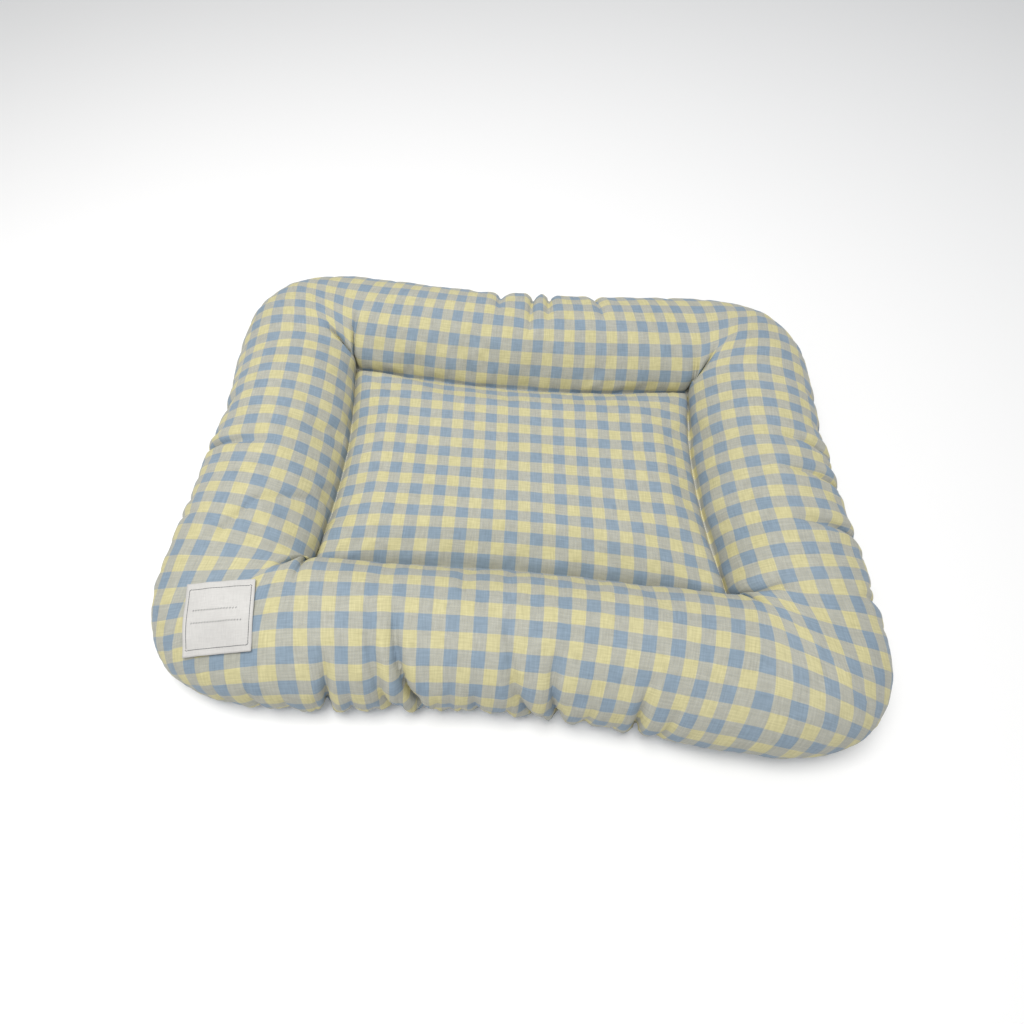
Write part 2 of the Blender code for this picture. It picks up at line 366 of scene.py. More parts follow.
def weave_group() -> bpy.types.NodeTree:
    """Builds the plain weave that every cloth here shares, once.

    Returns:
        The node group: Vector, Yarn and Slub in, Over, Height and Tone out.
    """
    name = "plain_weave"
    if name in bpy.data.node_groups:
        return bpy.data.node_groups[name]
    tree, g, source, result = new_group(name, ("Yarn", "Slub"), ("Over", "Height", "Tone"))
    split = g.node("ShaderNodeSeparateXYZ")
    g.feed(split.inputs[0], source.outputs["Vector"])
    u = g.math("DIVIDE", split.outputs[0], source.outputs["Yarn"])
    v = g.math("DIVIDE", split.outputs[1], source.outputs["Yarn"])
    across = g.math("FLOOR", u)
    down = g.math("FLOOR", v)
    over = g.math("FLOORED_MODULO", g.math("ADD", across, down), 2.0)
    warp = g.math("SINE", g.math("MULTIPLY", g.math("FRACT", u), math.pi))
    weft = g.math("SINE", g.math("MULTIPLY", g.math("FRACT", v), math.pi))
    warp_top = g.math("MULTIPLY", warp, g.math("MULTIPLY_ADD", weft, 0.4, 0.6))
    weft_top = g.math("MULTIPLY", weft, g.math("MULTIPLY_ADD", warp, 0.4, 0.6))
    height = g.math(
        "ADD",
        g.math("MULTIPLY", over, warp_top),
        g.math("MULTIPLY", g.math("SUBTRACT", 1.0, over), weft_top),
    )

    def yarn_tone(index: object, run: object, seed: float) -> bpy.types.NodeSocket:
        """Gives each yarn its own tone, which drifts along its run."""
        place = g.node("ShaderNodeCombineXYZ")
        g.feed(place.inputs[0], g.math("MULTIPLY_ADD", index, 0.37, seed))
        g.feed(place.inputs[1], g.math("MULTIPLY", run, 0.035))
        return g.noise(place.outputs[0], 1.0, 2.0)

    warp_tone = yarn_tone(across, v, 3.1)
    weft_tone = yarn_tone(down, u, 47.9)
    tone = g.math(
        "ADD",
        g.math("MULTIPLY", over, warp_tone),
        g.math("MULTIPLY", g.math("SUBTRACT", 1.0, over), weft_tone),
    )
    even = g.math("SUBTRACT", tone, 0.5)
    g.feed(result.inputs["Over"], over)
    g.feed(result.inputs["Height"], height)
    g.feed(
        result.inputs["Tone"],
        g.math("MULTIPLY_ADD", even, source.outputs["Slub"], 1.0),
    )
    return tree


def streak_group() -> bpy.types.NodeTree:
    """Builds the faint streaks of uneven yarn that run both ways, once.

    Returns:
        The node group: Vector and Strength in, Tone out.
    """
    name = "uneven_yarn"
    if name in bpy.data.node_groups:
        return bpy.data.node_groups[name]
    tree, g, source, result = new_group(name, ("Strength",), ("Tone",))
    warp = g.noise(g.scaled(source.outputs["Vector"], (1.0, 0.09, 1.0)), 620.0, 2.0)
    weft = g.noise(g.scaled(source.outputs["Vector"], (0.09, 1.0, 1.0)), 680.0, 2.0)
    both = g.math("SUBTRACT", g.math("ADD", warp, weft), 1.0)
    g.feed(result.inputs["Tone"], g.math("MULTIPLY_ADD", both, source.outputs["Strength"], 1.0))
    return tree


def use_group(g: Graph, tree: bpy.types.NodeTree, **values: object) -> bpy.types.Node:
    """Places a node group.

    Args:
        g: The material's graph.
        tree: The group.
        **values: What each input gets.

    Returns:
        The group node.
    """
    node = g.node("ShaderNodeGroup")
    node.node_tree = tree
    for name, value in values.items():
        g.feed(node.inputs[name], value)
    return node


def crumple_group() -> bpy.types.NodeTree:
    """Builds the washed look that the cloths share, once.

    Returns:
        The node group: Vector and Size in, Height and Fade out.
    """
    name = "washed_crumple"
    if name in bpy.data.node_groups:
        return bpy.data.node_groups[name]
    tree, g, source, result = new_group(name, ("Size",), ("Height", "Fade"))
    place = g.node("ShaderNodeVectorMath", operation="SCALE")
    g.feed(place.inputs[0], source.outputs["Vector"])
    g.feed(place.inputs["Scale"], g.math("DIVIDE", 1.0, source.outputs["Size"]))
    small = g.noise(place.outputs[0], 1.0, 3.0)
    broad = g.noise(place.outputs[0], 0.23, 2.0)
    g.feed(result.inputs["Height"], small)
    g.feed(result.inputs["Fade"], g.spread(broad, 0.35, 0.65, 0.0, 1.0))
    return tree


def new_material(name: str, roughness: float) -> tuple[bpy.types.Material, Graph, bpy.types.Node]:
    """Starts a material.

    Args:
        name: The finish's name.
        roughness: Its roughness.

    Returns:
        The material, its graph and its shader node.
    """
    material = bpy.data.materials.new(name)
    material.use_nodes = True
    shader = material.node_tree.nodes["Principled BSDF"]
    shader.inputs["Roughness"].default_value = roughness
    return material, Graph(material.node_tree), shader


def add_bump(
    g: Graph, height: object, strength: float, distance: float, below: object = None
) -> bpy.types.NodeSocket:
    """Adds a Bump node.

    Args:
        g: The material's graph.
        height: The height's socket.
        strength: The bump's strength.
        distance: The bump's depth in metres.
        below: The normal of the coarser bump under it, where there is one.

    Returns:
        The bumped normal's socket.
    """
    bump = g.node("ShaderNodeBump")
    bump.inputs["Strength"].default_value = strength
    bump.inputs["Distance"].default_value = distance
    g.feed(bump.inputs["Height"], height)
    g.feed(bump.inputs["Normal"], below)
    return bump.outputs[0]


def set_cloth_gloss(shader: bpy.types.Node, sheen: float) -> None:
    """Sets the soft gloss that the cloths share."""
    shader.inputs["Sheen Weight"].default_value = sheen
    shader.inputs["Sheen Roughness"].default_value = 0.5
    shader.inputs["Specular IOR Level"].default_value = 0.3


@dataclass(frozen=True)
class GinghamFinish:
    """Yarn-dyed gingham: yellow and blue bands crossing both ways."""

    name: str = "checked_cloth"
    yellow: Colour = (0.556, 0.513, 0.277, 1.0)
    blue: Colour = (0.224, 0.297, 0.371, 1.0)
    band_along: float = 0.0138
    band_across: float = 0.0145
    start_along: float = 0.0035
    start_across: float = -0.0397
    yarn: float = 0.00048
    over_contrast: float = 0.30
    grey: Colour = (0.404, 0.388, 0.361, 1.0)
    greyed: float = 0.45
    streaks: float = 0.36
    roughness: float = 0.88
    sheen: float = 0.12
    faded: Colour = (0.54, 0.54, 0.515, 1.0)
    fading: float = 0.07
    slub: float = 0.34

    def band(self, g: Graph, place: object, size: float, start: float) -> bpy.types.NodeSocket:
        """Gives 0 on a yellow band and 1 on a blue one, with a soft edge a yarn wide.

        Args:
            g: The material's graph.
            place: Where along the cut, in metres.
            size: A band's width.
            start: The middle of a yellow band.

        Returns:
            The band mask's socket.
        """
        shifted = g.math("DIVIDE", g.math("SUBTRACT", place, start), 2 * size)
        wave = g.math("PINGPONG", shifted, 0.5)
        soft = self.yarn / (2 * size) * 0.5
        return g.spread(wave, 0.25 - soft, 0.25 + soft, 0.0, 1.0)

    def material(self) -> bpy.types.Material:
        """Builds the material.

        Returns:
            The gingham material, which reads the cut's UV map.
        """
        material, g, shader = new_material(self.name, self.roughness)
        uv = g.node("ShaderNodeUVMap", uv_map=UV_NAME).outputs[0]
        split = g.node("ShaderNodeSeparateXYZ")
        g.feed(split.inputs[0], uv)
        warp_band = self.band(g, split.outputs[0], self.band_along, self.start_along)
        weft_band = self.band(g, split.outputs[1], self.band_across, self.start_across)
        weave = use_group(g, weave_group(), Vector=uv, Yarn=self.yarn, Slub=self.slub)
        crumple = use_group(g, crumple_group(), Vector=uv, Size=0.018)
        warp_share = g.spread(
            weave.outputs["Over"], 0.0, 1.0, 0.5 - self.over_contrast, 0.5 + self.over_contrast
        )
        blue_share = g.math(
            "ADD",
            g.math("MULTIPLY", warp_band, warp_share),
            g.math("MULTIPLY", weft_band, g.math("SUBTRACT", 1.0, warp_share)),
        )
        colour = g.mix(blue_share, self.yellow, self.blue)
        crossed = g.math("ABSOLUTE", g.math("SUBTRACT", warp_band, weft_band))
        colour = g.mix(g.math("MULTIPLY", crossed, self.greyed), colour, self.grey)
        streaks = use_group(g, streak_group(), Vector=uv, Strength=self.streaks)
        fade = g.math("MULTIPLY", crumple.outputs["Fade"], self.fading)
        washed = g.mix(fade, colour, self.faded)
        toned = g.node("ShaderNodeVectorMath", operation="SCALE")
        g.feed(toned.inputs[0], washed)
        tone = g.math("MULTIPLY", weave.outputs["Tone"], streaks.outputs["Tone"])
        g.feed(toned.inputs["Scale"], tone)
        g.feed(shader.inputs["Base Color"], toned.outputs[0])
        g.feed(
            shader.inputs["Roughness"],
            g.spread(
                crumple.outputs["Height"], 0.3, 0.7, self.roughness - 0.06, self.roughness + 0.06
            ),
        )
        set_cloth_gloss(shader, self.sheen)
        folds = add_bump(g, crumple.outputs["Height"], 0.30, 0.0012)
        yarns = add_bump(g, weave.outputs["Height"], 0.35, 0.00012, folds)
        g.feed(shader.inputs["Normal"], yarns)
        return material


@dataclass(frozen=True)
class PlainClothFinish:
    """A plain woven cloth of one yarn colour, used for the base and the label."""

    name: str
    colour: Colour
    shade: Colour
    yarn: float = 0.0006
    roughness: float = 0.9
    sheen: float = 0.1

    def material(self) -> bpy.types.Material:
        """Builds the material.

        Returns:
            The plain cloth material, which reads the cut's UV map.
        """
        material, g, shader = new_material(self.name, self.roughness)
        uv = g.node("ShaderNodeUVMap", uv_map=UV_NAME).outputs[0]
        weave = use_group(g, weave_group(), Vector=uv, Yarn=self.yarn, Slub=0.4)
        crumple = use_group(g, crumple_group(), Vector=uv, Size=0.012)
        share = g.math("MULTIPLY", crumple.outputs["Fade"], 0.55)
        colour = g.mix(share, self.colour, self.shade)
        toned = g.node("ShaderNodeVectorMath", operation="SCALE")
        g.feed(toned.inputs[0], colour)
        g.feed(toned.inputs["Scale"], weave.outputs["Tone"])
        g.feed(shader.inputs["Base Color"], toned.outputs[0])
        g.feed(
            shader.inputs["Roughness"],
            g.spread(
                crumple.outputs["Height"], 0.3, 0.7, self.roughness - 0.08, self.roughness + 0.05
            ),
        )
        set_cloth_gloss(shader, self.sheen)
        folds = add_bump(g, crumple.outputs["Height"], 0.25, 0.0006)
        yarns = add_bump(g, weave.outputs["Height"], 0.4, 0.0001, folds)
        g.feed(shader.inputs["Normal"], yarns)
        return material


@dataclass(frozen=True)
class ThreadFinish:
    """Spun sewing thread with fine twisted plies."""

    name: str
    colour: Colour
    shade: Colour
    roughness: float = 0.6

    def material(self) -> bpy.types.Material:
        """Builds the material.

        Returns:
            The thread material, which reads Object coordinates.
        """
        material, g, shader = new_material(self.name, self.roughness)
        place = g.node("ShaderNodeTexCoord").outputs["Object"]
        twist = g.noise(g.scaled(place, (1.0, 1.0, 1.6)), 5200.0, 1.0)
        lot = g.noise(place, 90.0, 2.0)
        colour = g.mix(g.spread(lot, 0.35, 0.65, 0.0, 1.0), self.colour, self.shade)
        dark = g.spread(twist, 0.4, 0.6, 0.0, 0.35)
        g.feed(shader.inputs["Base Color"], g.mix(dark, colour, self.shade))
        g.feed(
            shader.inputs["Roughness"],
            g.spread(twist, 0.3, 0.7, self.roughness - 0.1, self.roughness + 0.15),
        )
        shader.inputs["Sheen Weight"].default_value = 0.1
        g.feed(shader.inputs["Normal"], add_bump(g, twist, 0.5, 0.00008))
        return material


@dataclass(frozen=True)
class FibreFinish:
    """Matted polyester stuffing, with painted shade in the hollows between its strands and clumps.
    """

    name: str
    colour: Colour = (0.86, 0.86, 0.84, 1.0)
    # shade is the colour of the painted shade in the hollows between strands and clumps.
    shade: Colour = (0.66, 0.66, 0.63, 1.0)
    roughness: float = 0.95

    def material(self) -> bpy.types.Material:
        """Builds the material.

        Returns:
            The fibre material, which reads Object coordinates.
        """
        material, g, shader = new_material(self.name, self.roughness)
        place = g.node("ShaderNodeTexCoord").outputs["Object"]
        strands = g.noise(g.scaled(place, (1.0, 0.35, 0.8)), 900.0, 4.0)
        clumps = g.noise(place, 60.0, 3.0)
        share = g.math("MULTIPLY", strands, clumps)
        # Painted shade: darker where strands and clumps, which also set the bump's height, are
        # lowest.
        dark = g.spread(share, 0.12, 0.4, 1.0, 0.0)
        g.feed(shader.inputs["Base Color"], g.mix(dark, self.colour, self.shade))
        g.feed(shader.inputs["Roughness"], g.spread(clumps, 0.3, 0.7, 0.88, 1.0))
        shader.inputs["Sheen Weight"].default_value = 0.3
        g.feed(shader.inputs["Normal"], add_bump(g, share, 0.6, 0.001))
        return material


@dataclass(frozen=True)
class FloorFinish:
    """The pale matt floor under the bed."""

    name: str = "studio_floor"
    colour: Colour = (0.93, 0.93, 0.93, 1.0)

    def material(self) -> bpy.types.Material:
        """Builds the plain floor material."""
        material, g, shader = new_material(self.name, 0.9)
        place = g.node("ShaderNodeTexCoord").outputs["Object"]
        cloud = g.spread(g.noise(place, 3.0), 0.3, 0.7, 0.0, 0.05)
        g.feed(shader.inputs["Base Color"], g.mix(cloud, self.colour, (0.88, 0.88, 0.89, 1.0)))
        return material


# --------------------------------------------------------------------------
# Cover and stuffing
# --------------------------------------------------------------------------


@dataclass(frozen=True)
class Fold:
    """A fold line on the flat cut, from its sewn end to its free end."""

    line: Array
    width: float
    depth: float
    from_edge: bool = True
    shoulder: float = 0.28

    def measure(self, x: Array, y: Array) -> tuple[Array, Array]:
        """Measures points of the cut against the fold line.

        Args:
            x: Places along the cut.
            y: Places across the cut.

        Returns:
            The distance from the line, and the share of its length from the sewn end.
        """
        knots = self.line
        steps = np.linalg.norm(np.diff(knots, axis=0), axis=1)
        total = steps.sum()
        best = np.full(x.shape, 1e9)
        share = np.zeros(x.shape)
        done = 0.0
        for first, second, step in zip(knots[:-1], knots[1:], steps):
            way = (second - first) / step
            run = np.clip((x - first[0]) * way[0] + (y - first[1]) * way[1], 0, step)
            away = np.hypot(x - first[0] - way[0] * run, y - first[1] - way[1] * run)
            nearer = away < best
            best = np.where(nearer, away, best)
            share = np.where(nearer, (done + run) / total, share)
            done += step
        return best, share

    def press(self, x: Array, y: Array, narrow: float = 1.0) -> Array:
        """Gives how deep the fold presses each point in.

        Args:
            x: Places along the cut.
            y: Places across the cut.
            narrow: A factor on the fold's width.

        Returns:
            The depths.
        """
        away, share = self.measure(x, y)
        taper = np.clip(1 - share**2, 0, 1) ** 0.8
        across = away / (self.width * narrow)
        shoulder = self.shoulder * np.exp(-((across / 2.3) ** 2))
        return self.depth * taper * (np.exp(-(across**2)) - shoulder)


@dataclass(frozen=True)
class CornerCrease:
    """A sharp crease that runs out from a corner of the inner seam and swallows cloth.

    The angle is from the long side's direction, and share is how much of the
    corner's spare cloth goes into this crease.
    """

    angle: float
    length: float
    depth: float
    share: float
    width: float = 0.0060


@dataclass
class PanelCut:
    """The flat cut of both panels: a rectangle with rounded corners.

    The pad's part is in the middle, and the rim's part has one width all round.
    """

    pad_half_length: float = 0.2215
    pad_half_width: float = 0.1475
    rim: float = 0.225
    cell: float = 0.0053

    def __post_init__(self) -> None:
        """Lays the cut's lines and counts its cells."""
        self.pad_cells = (
            round(2 * self.pad_half_length / self.cell),
            round(2 * self.pad_half_width / self.cell),
        )
        self.rim_cells = round(self.rim / self.cell)
        self.x, self.y = np.meshgrid(
            self._lines(self.pad_half_length, self.pad_cells[0]),
            self._lines(self.pad_half_width, self.pad_cells[1]),
        )

    def _lines(self, half: float, cells: int) -> Array:
        """Places the grid lines of one axis."""
        pad = np.linspace(-half, half, cells + 1)
        rim = np.linspace(0, self.rim, self.rim_cells + 1)[1:]
        return np.concatenate([-(half + rim[::-1]), pad, half + rim])

    def outside(self) -> tuple[Array, Array]:
        """Gives how far into the rim each point is, on each axis, as a share.

        Returns:
            The shares along x and along y: 0 on the inner seam, 1 on the outer.
        """
        return (
            np.clip(np.abs(self.x) - self.pad_half_length, 0, None) / self.rim,
            np.clip(np.abs(self.y) - self.pad_half_width, 0, None) / self.rim,
        )

    def flat(self) -> tuple[Array, Array]:
        """Gives the cut's flat coordinates, with its corners rounded off.

        Returns:
            x and y on the cloth.
        """
        dx, dy = self.outside()
        out = np.maximum(dx, dy)
        low = np.minimum(dx, dy) / np.maximum(out, 1e-9)
        turn = math.pi / 4 * np.where(dx >= dy, low, 2 - low)
        fx, fy = out * np.cos(turn), out * np.sin(turn)
        x = np.sign(self.x) * (np.minimum(np.abs(self.x), self.pad_half_length) + fx * self.rim)
        y = np.sign(self.y) * (np.minimum(np.abs(self.y), self.pad_half_width) + fy * self.rim)
        return x, y

    def inner_seam(self) -> Array:
        """Marks the points on the inner seam."""
        r, (nx, ny) = self.rim_cells, self.pad_cells
        mark = np.zeros(self.x.shape, dtype=bool)
        mark[r, r : r + nx + 1] = mark[r + ny, r : r + nx + 1] = True
        mark[r : r + ny + 1, r] = mark[r : r + ny + 1, r + nx] = True
        return mark

    def outer_edge(self) -> Array:
        """Marks the points on the outer edge."""
        mark = np.zeros(self.x.shape, dtype=bool)
        mark[0], mark[-1], mark[:, 0], mark[:, -1] = True, True, True, True
        return mark

    def side_fold(
        self, side: Side, place: float, reach: float, lean: float, width: float, depth: float
    ) -> Fold:
        """Draws a fold that runs up from the outer seam and bends over.

        Args:
            side: The side of the bed.
            place: Where along the side it starts, from the middle.
            reach: How far up the cloth it goes.
            lean: How far it drifts along the side on its way.
            width: Its width.
            depth: Its depth.

        Returns:
            The fold.
        """
        share = np.linspace(0, 1, 6)
        along = place + lean * (1 - (1 - share) ** 2)
        half = self.pad_half_width if side.along_x else self.pad_half_length
        out = (half + self.rim - reach * share) * side.facing
        line = np.stack([along, out] if side.along_x else [out, along], -1)
        return Fold(line, width, depth)

    def corner_fold(self, corner: tuple[int, int], crease: CornerCrease) -> Fold:
        """Draws the fold of a corner crease."""
        turn = math.radians(crease.angle)
        start = np.array([self.pad_half_length, self.pad_half_width])
        way = np.array([math.cos(turn), math.sin(turn)])
        line = np.stack([start, start + way * crease.length]) * np.array(corner)
        return Fold(line, crease.width, crease.depth, False)

    def ring(self, step: int) -> Array:
        """Lists one square ring of grid points in order.

        Args:
            step: How many cells the ring is from the outer edge.

        Returns:
            Grid indexes, counterclockwise from above, starting at a front corner.
        """
        rows, columns = self.x.shape
        low, right, top = step, columns - 1 - step, rows - 1 - step
        front = [low * columns + i for i in range(low, right)]
        far = [j * columns + right for j in range(low, top)]
        back = [top * columns + i for i in range(right, low, -1)]
        near = [j * columns + low for j in range(top, low, -1)]
        return np.array(front + far + back + near)


@dataclass
class BedShape:
    """Turns the flat cut into the stuffed shape.

    seam_height is the outer seam's, and the inner seam starts from it too.
    """

    cut: PanelCut
    half_length: float
    half_width: float
    seam_half_length: float
    seam_half_width: float
    seam_height: float
    crest: float
    pad_rise: float = 0.025
    squareness: float = 5.0
    waist_short: float = 0.035
    waist_long: float = 0.086
    bow: float = 0.045
    pressure: float = 5.0
    frames: int = 20
    hold: float = 0.01
    move_cap: float = 0.026
    rear_right_tuck: float = 0.005
    front_right_reach: float = 0.012
    fullness: float = 0.80
    lean_in: float = 0.003
    wrap_under: float = 1.05
    base_fullness: float = 0.7
    lean_place: float = 0.13
    lean_spread: float = 0.07
    gather_fade: float = 0.035
    seam_calm: float = 0.008
    noise: float = 0.0002
    folds: list[Fold] = field(default_factory=list)
    creases: dict[tuple[int, int], tuple[CornerCrease, ...]] = field(default_factory=dict)

    def _profile(self, out: Array, top: bool) -> tuple[Array, Array]:
        """Gives the rim's cross-section, with the cloth spread evenly along it.

        Args:
            out: How far across the rim's cloth, from the inner seam to the outer.
            top: True for the top panel.

        Returns:
            The share of the way across and the share of the full height.
        """
        turn = np.linspace(0, math.pi, 400)
        across = (1 - np.sign(np.cos(turn)) * np.abs(np.cos(turn)) ** self.fullness) / 2
        lift = np.abs(np.sin(turn)) ** (self.fullness if top else self.base_fullness)
        height = (self.crest - self.seam_height) if top else self.seam_height
        width_along = self.half_length - self.seam_half_length
        width = (width_along + self.half_width - self.seam_half_width) / 2
        steps = np.hypot(np.diff(across) * width, np.diff(lift) * height)
        run = np.concatenate([[0], np.cumsum(steps)]) / steps.sum()
        share = np.clip(out * (self.wrap_under if top else 2 - self.wrap_under), 0, 2)
        back = np.clip(2 - share, 0, 1)
        over = share > 1
        level = np.interp(np.where(over, back, share), run, lift)
        return np.interp(np.where(over, back, share), run, across), np.where(over, -level, level)

    def start(self, panel: Panel) -> Array:
        """Builds the shape that the cloth starts from.

        Args:
            panel: Which panel.

        Returns:
            One row of x, y, z for each grid point.
        """
        cut, top = self.cut, panel is Panel.TOP
        ax = np.clip(cut.x / cut.pad_half_length, -1, 1)
        ay = np.clip(cut.y / cut.pad_half_width, -1, 1)
        seam_x = ax * self.seam_half_length * (1 - self.bow * (1 - ay**2))
        ratio = self.seam_half_length / self.seam_half_width
        seam_y = ay * self.seam_half_width * (1 - self.bow * (1 - ax**2) * ratio)
        seam_x = seam_x + self.front_right_reach * (1 + ax) * (1 - ay) / 4
        dx, dy = cut.outside()
        out = np.maximum(dx, dy)
        safe = np.maximum(out, 1e-9)
        share_x = cut.pad_half_length / (cut.pad_half_length + cut.rim)
        share_y = cut.pad_half_width / (cut.pad_half_width + cut.rim)
        ux = ax * share_x + np.where(dx > 0, np.sign(cut.x) * dx / safe * (1 - share_x), 0)
        uy = ay * share_y + np.where(dy > 0, np.sign(cut.y) * dy / safe * (1 - share_y), 0)
        ux = np.where((dx >= dy) & (dx > 0), np.sign(cut.x), ux)
        uy = np.where(dy > dx, np.sign(cut.y), uy)
        power = self.squareness
        reach = np.maximum(np.abs(ux) ** power + np.abs(uy) ** power, 1e-12) ** (-1 / power)
        edge_x, edge_y = ux * reach, uy * reach
        waist_x = 1 - self.waist_short * np.cos(math.pi * edge_y / 2) ** 2
        waist_y = 1 - self.waist_long * np.cos(math.pi * edge_x / 2) ** 2
        tucked = np.clip(edge_x, 0, 1) ** 2 * np.clip((edge_y + 0.9) / 1.1, 0, 1)
        edge_x = edge_x * waist_x * self.half_length - self.rear_right_tuck * tucked
        edge_y = edge_y * waist_y * self.half_width
        run_x, run_y = edge_x - seam_x, edge_y - seam_y
        run = np.hypot(run_x, run_y) + 1e-9
        run_x, run_y = run_x / run, run_y / run
        middle = 1 - np.minimum(np.abs(ux), np.abs(uy)) ** 2
        above = self.crest * (1 - 0.05 * middle) - self.seam_height
        share, lift = self._profile(out, top)
        from_lean = (out - self.lean_place) / self.lean_spread
        lean = self.lean_in * np.exp(-(from_lean**2)) if top else 0.0
        across = run * share - lean
        lift = lift if top else -lift
        z = self.seam_height + np.where(lift > 0, above, self.seam_height) * lift
        in_rim = out > 0
        x = np.where(in_rim, seam_x + run_x * across, seam_x)
        y = np.where(in_rim, seam_y + run_y * across, seam_y)
        rise = np.clip((1 - np.abs(ax) ** 14) * (1 - np.abs(ay) ** 9), 0, 1) ** 0.5
        pad = self.pad_rise * rise if top else -(self.seam_height - 0.002) * rise**0.6
        z = np.where(in_rim, z, self.seam_height + pad)
        core = np.stack(
            [seam_x + run_x * run / 2, seam_y + run_y * run / 2, np.full_like(z, self.seam_height)],
            -1,
        )
        points = np.stack([x, y, z], -1)
        inward = core - points
        inward /= np.linalg.norm(inward, axis=-1, keepdims=True) + 1e-9
        depth = np.where(in_rim, self._gather_depth(out, top), 0)
        return (points + inward * depth[..., None]).reshape(-1, 3)

    def _gather_depth(self, out: Array, top: bool) -> Array:
        """Adds up how deep the folds press each rim point in."""
        cut = self.cut
        depth = np.zeros_like(out)
        for fold in self.folds:
            if top:
                depth += fold.press(cut.x, cut.y)
            elif fold.from_edge:
                fade = np.exp(-(((1 - out) * cut.rim / self.gather_fade) ** 2))
                depth += fold.press(cut.x, cut.y) * fade
        from_seam = out * cut.rim
        return depth * (1 - np.exp(-from_seam / self.seam_calm))

    def corner_narrowing(self) -> Array:
        """Measures how much narrower each ring of a corner is in the stuffed shape than flat.

        Returns:
            One share for each ring, from the inner seam to the outer edge.
        """
        cut = self.cut
        smooth = BedShape(**{**self.__dict__, "folds": []})
        points = smooth.start(Panel.TOP).reshape(cut.x.shape + (3,))
        flat_x, flat_y = cut.flat()
        flat = np.stack([flat_x, flat_y], -1)
        r = cut.rim_cells
        shares = [0.3]
        for k in range(1, r + 1):
            line = [(r - k, i) for i in range(r - k, r + 1)]
            side = [(j, r - k) for j in range(r - k, r + 1)]
            stuffed, cloth = (
                sum(
                    np.linalg.norm(grid[a] - grid[b])
                    for run in (line, side)
                    for a, b in zip(run[:-1], run[1:])
                )
                for grid in (points, flat)
            )
            shares.append(min(1.0, max(0.25, stuffed / cloth)))
        return np.array(shares)

    def pattern(self) -> tuple[Array, Array]:
        """Places the check pattern, with the cloth that the corner creases swallow left out.

        Returns:
            x and y of the pattern at each grid point.
        """
        cut = self.cut
        x, y = cut.flat()
        dx, dy = cut.outside()
        narrow = np.interp(
            np.maximum(dx, dy), np.linspace(0, 1, cut.rim_cells + 1), self.corner_narrowing()
        )
        quarter = math.pi / 2
        for (sign_x, sign_y), creases in self.creases.items():
            here = (dx > 0) & (dy > 0) & (np.sign(cut.x) == sign_x) & (np.sign(cut.y) == sign_y)
            away_x, away_y = np.abs(x) - cut.pad_half_length, np.abs(y) - cut.pad_half_width
            reach, angle = np.hypot(away_x, away_y), np.arctan2(away_y, away_x)
            shown = angle.copy()
            for crease in creases:
                fade = np.clip((1.15 * crease.length - reach) / (0.7 * crease.length), 0, 1)
                hidden = (1 - narrow) * quarter * crease.share * fade * fade * (3 - 2 * fade)
                turn = math.radians(crease.angle)
                shown += np.where(angle < turn, -angle, quarter - angle) * hidden / quarter
            x = np.where(here, sign_x * (cut.pad_half_length + reach * np.cos(shown)), x)
            y = np.where(here, sign_y * (cut.pad_half_width + reach * np.sin(shown)), y)
        return x, y

    def settle(self) -> tuple[Array, Array]:
        """Blows the cover up and lets its extra cloth wrinkle.

        Returns:
            The top panel's points and the base panel's points, one row for each grid point.
        """
        cut = self.cut
        shared = (cut.outer_edge() | cut.inner_seam()).ravel()
        count = shared.size
        top_ids = np.arange(count)
        base_ids = top_ids.copy()
        base_ids[~shared] = count + np.arange((~shared).sum())
        top, base = self.start(Panel.TOP), self.start(Panel.BASE)
        start = np.concatenate([top, base[~shared]])
        start = start + np.random.default_rng(7).normal(0, self.noise, start.shape)
        flat_x, flat_y = (v.ravel() for v in cut.flat())
        flat = np.stack([flat_x, flat_y, np.zeros_like(flat_x)], -1)
        rest = np.concatenate([flat, flat[~shared]])
        shape = cut.x.shape
        top_faces = grid_faces(top_ids.reshape(shape), True)
        faces = np.concatenate([top_faces, grid_faces(base_ids.reshape(shape), False)])
        moved = self._simulate(start, rest, faces) - start
        length = np.linalg.norm(moved, axis=1, keepdims=True) + 1e-9
        start = start + moved * np.minimum(1, self.move_cap / length)
        fitted = self._fit(start)
        return fitted[top_ids], fitted[base_ids]

    def _simulate(self, start: Array, rest: Array, faces: Array) -> Array:
        """Runs Blender's cloth on the joined panels.

        Args:
            start: The starting points.
            rest: The flat cut's points, which give the cloth its real size.
            faces: Rows of four point numbers.

        Returns:
            The points after the last frame.
        """
        mesh = bpy.data.meshes.new("cover_cloth")
        mesh.from_pydata(start.tolist(), [], faces.tolist())
        cloth_object = add_object(mesh, "cover_cloth")
        cloth_object.shape_key_add(name="Basis")
        key = cloth_object.shape_key_add(name="flat cut")
        key.data.foreach_set("co", rest.astype(np.float32).ravel())
        bpy.ops.mesh.primitive_plane_add(size=3, location=(0, 0, -0.0005))
        ground = bpy.context.object
        ground.modifiers.new("ground", "COLLISION")
        ground.collision.thickness_outer = 0.001
        ground.collision.cloth_friction = 5
        cloth = cloth_object.modifiers.new("cloth", "CLOTH")
        settings = cloth.settings
        settings.rest_shape_key = key
        for setting, value in CLOTH_SETTINGS.items():
            setattr(settings, setting, value)
        group = cloth_object.vertex_groups.new(name="hold")
        group.add(list(range(len(start))), self.hold, "REPLACE")
        settings.vertex_group_mass = "hold"
        settings.pin_stiffness = 1.0
        settings.use_pressure = True
        settings.uniform_pressure_force = self.pressure
        settings.effector_weights.gravity = 0.2
        cloth.collision_settings.distance_min = 0.001
        cloth.collision_settings.collision_quality = 1
        cloth.collision_settings.use_self_collision = False
        cloth.point_cache.frame_start = 1
        cloth.point_cache.frame_end = self.frames
        scene = bpy.context.scene
        scene.frame_start, scene.frame_end = 1, self.frames
        for number in range(1, self.frames + 1):
            scene.frame_set(number)
        result = plain_mesh(cloth_object, "cover_cloth_settled")
        points = points_of(result)
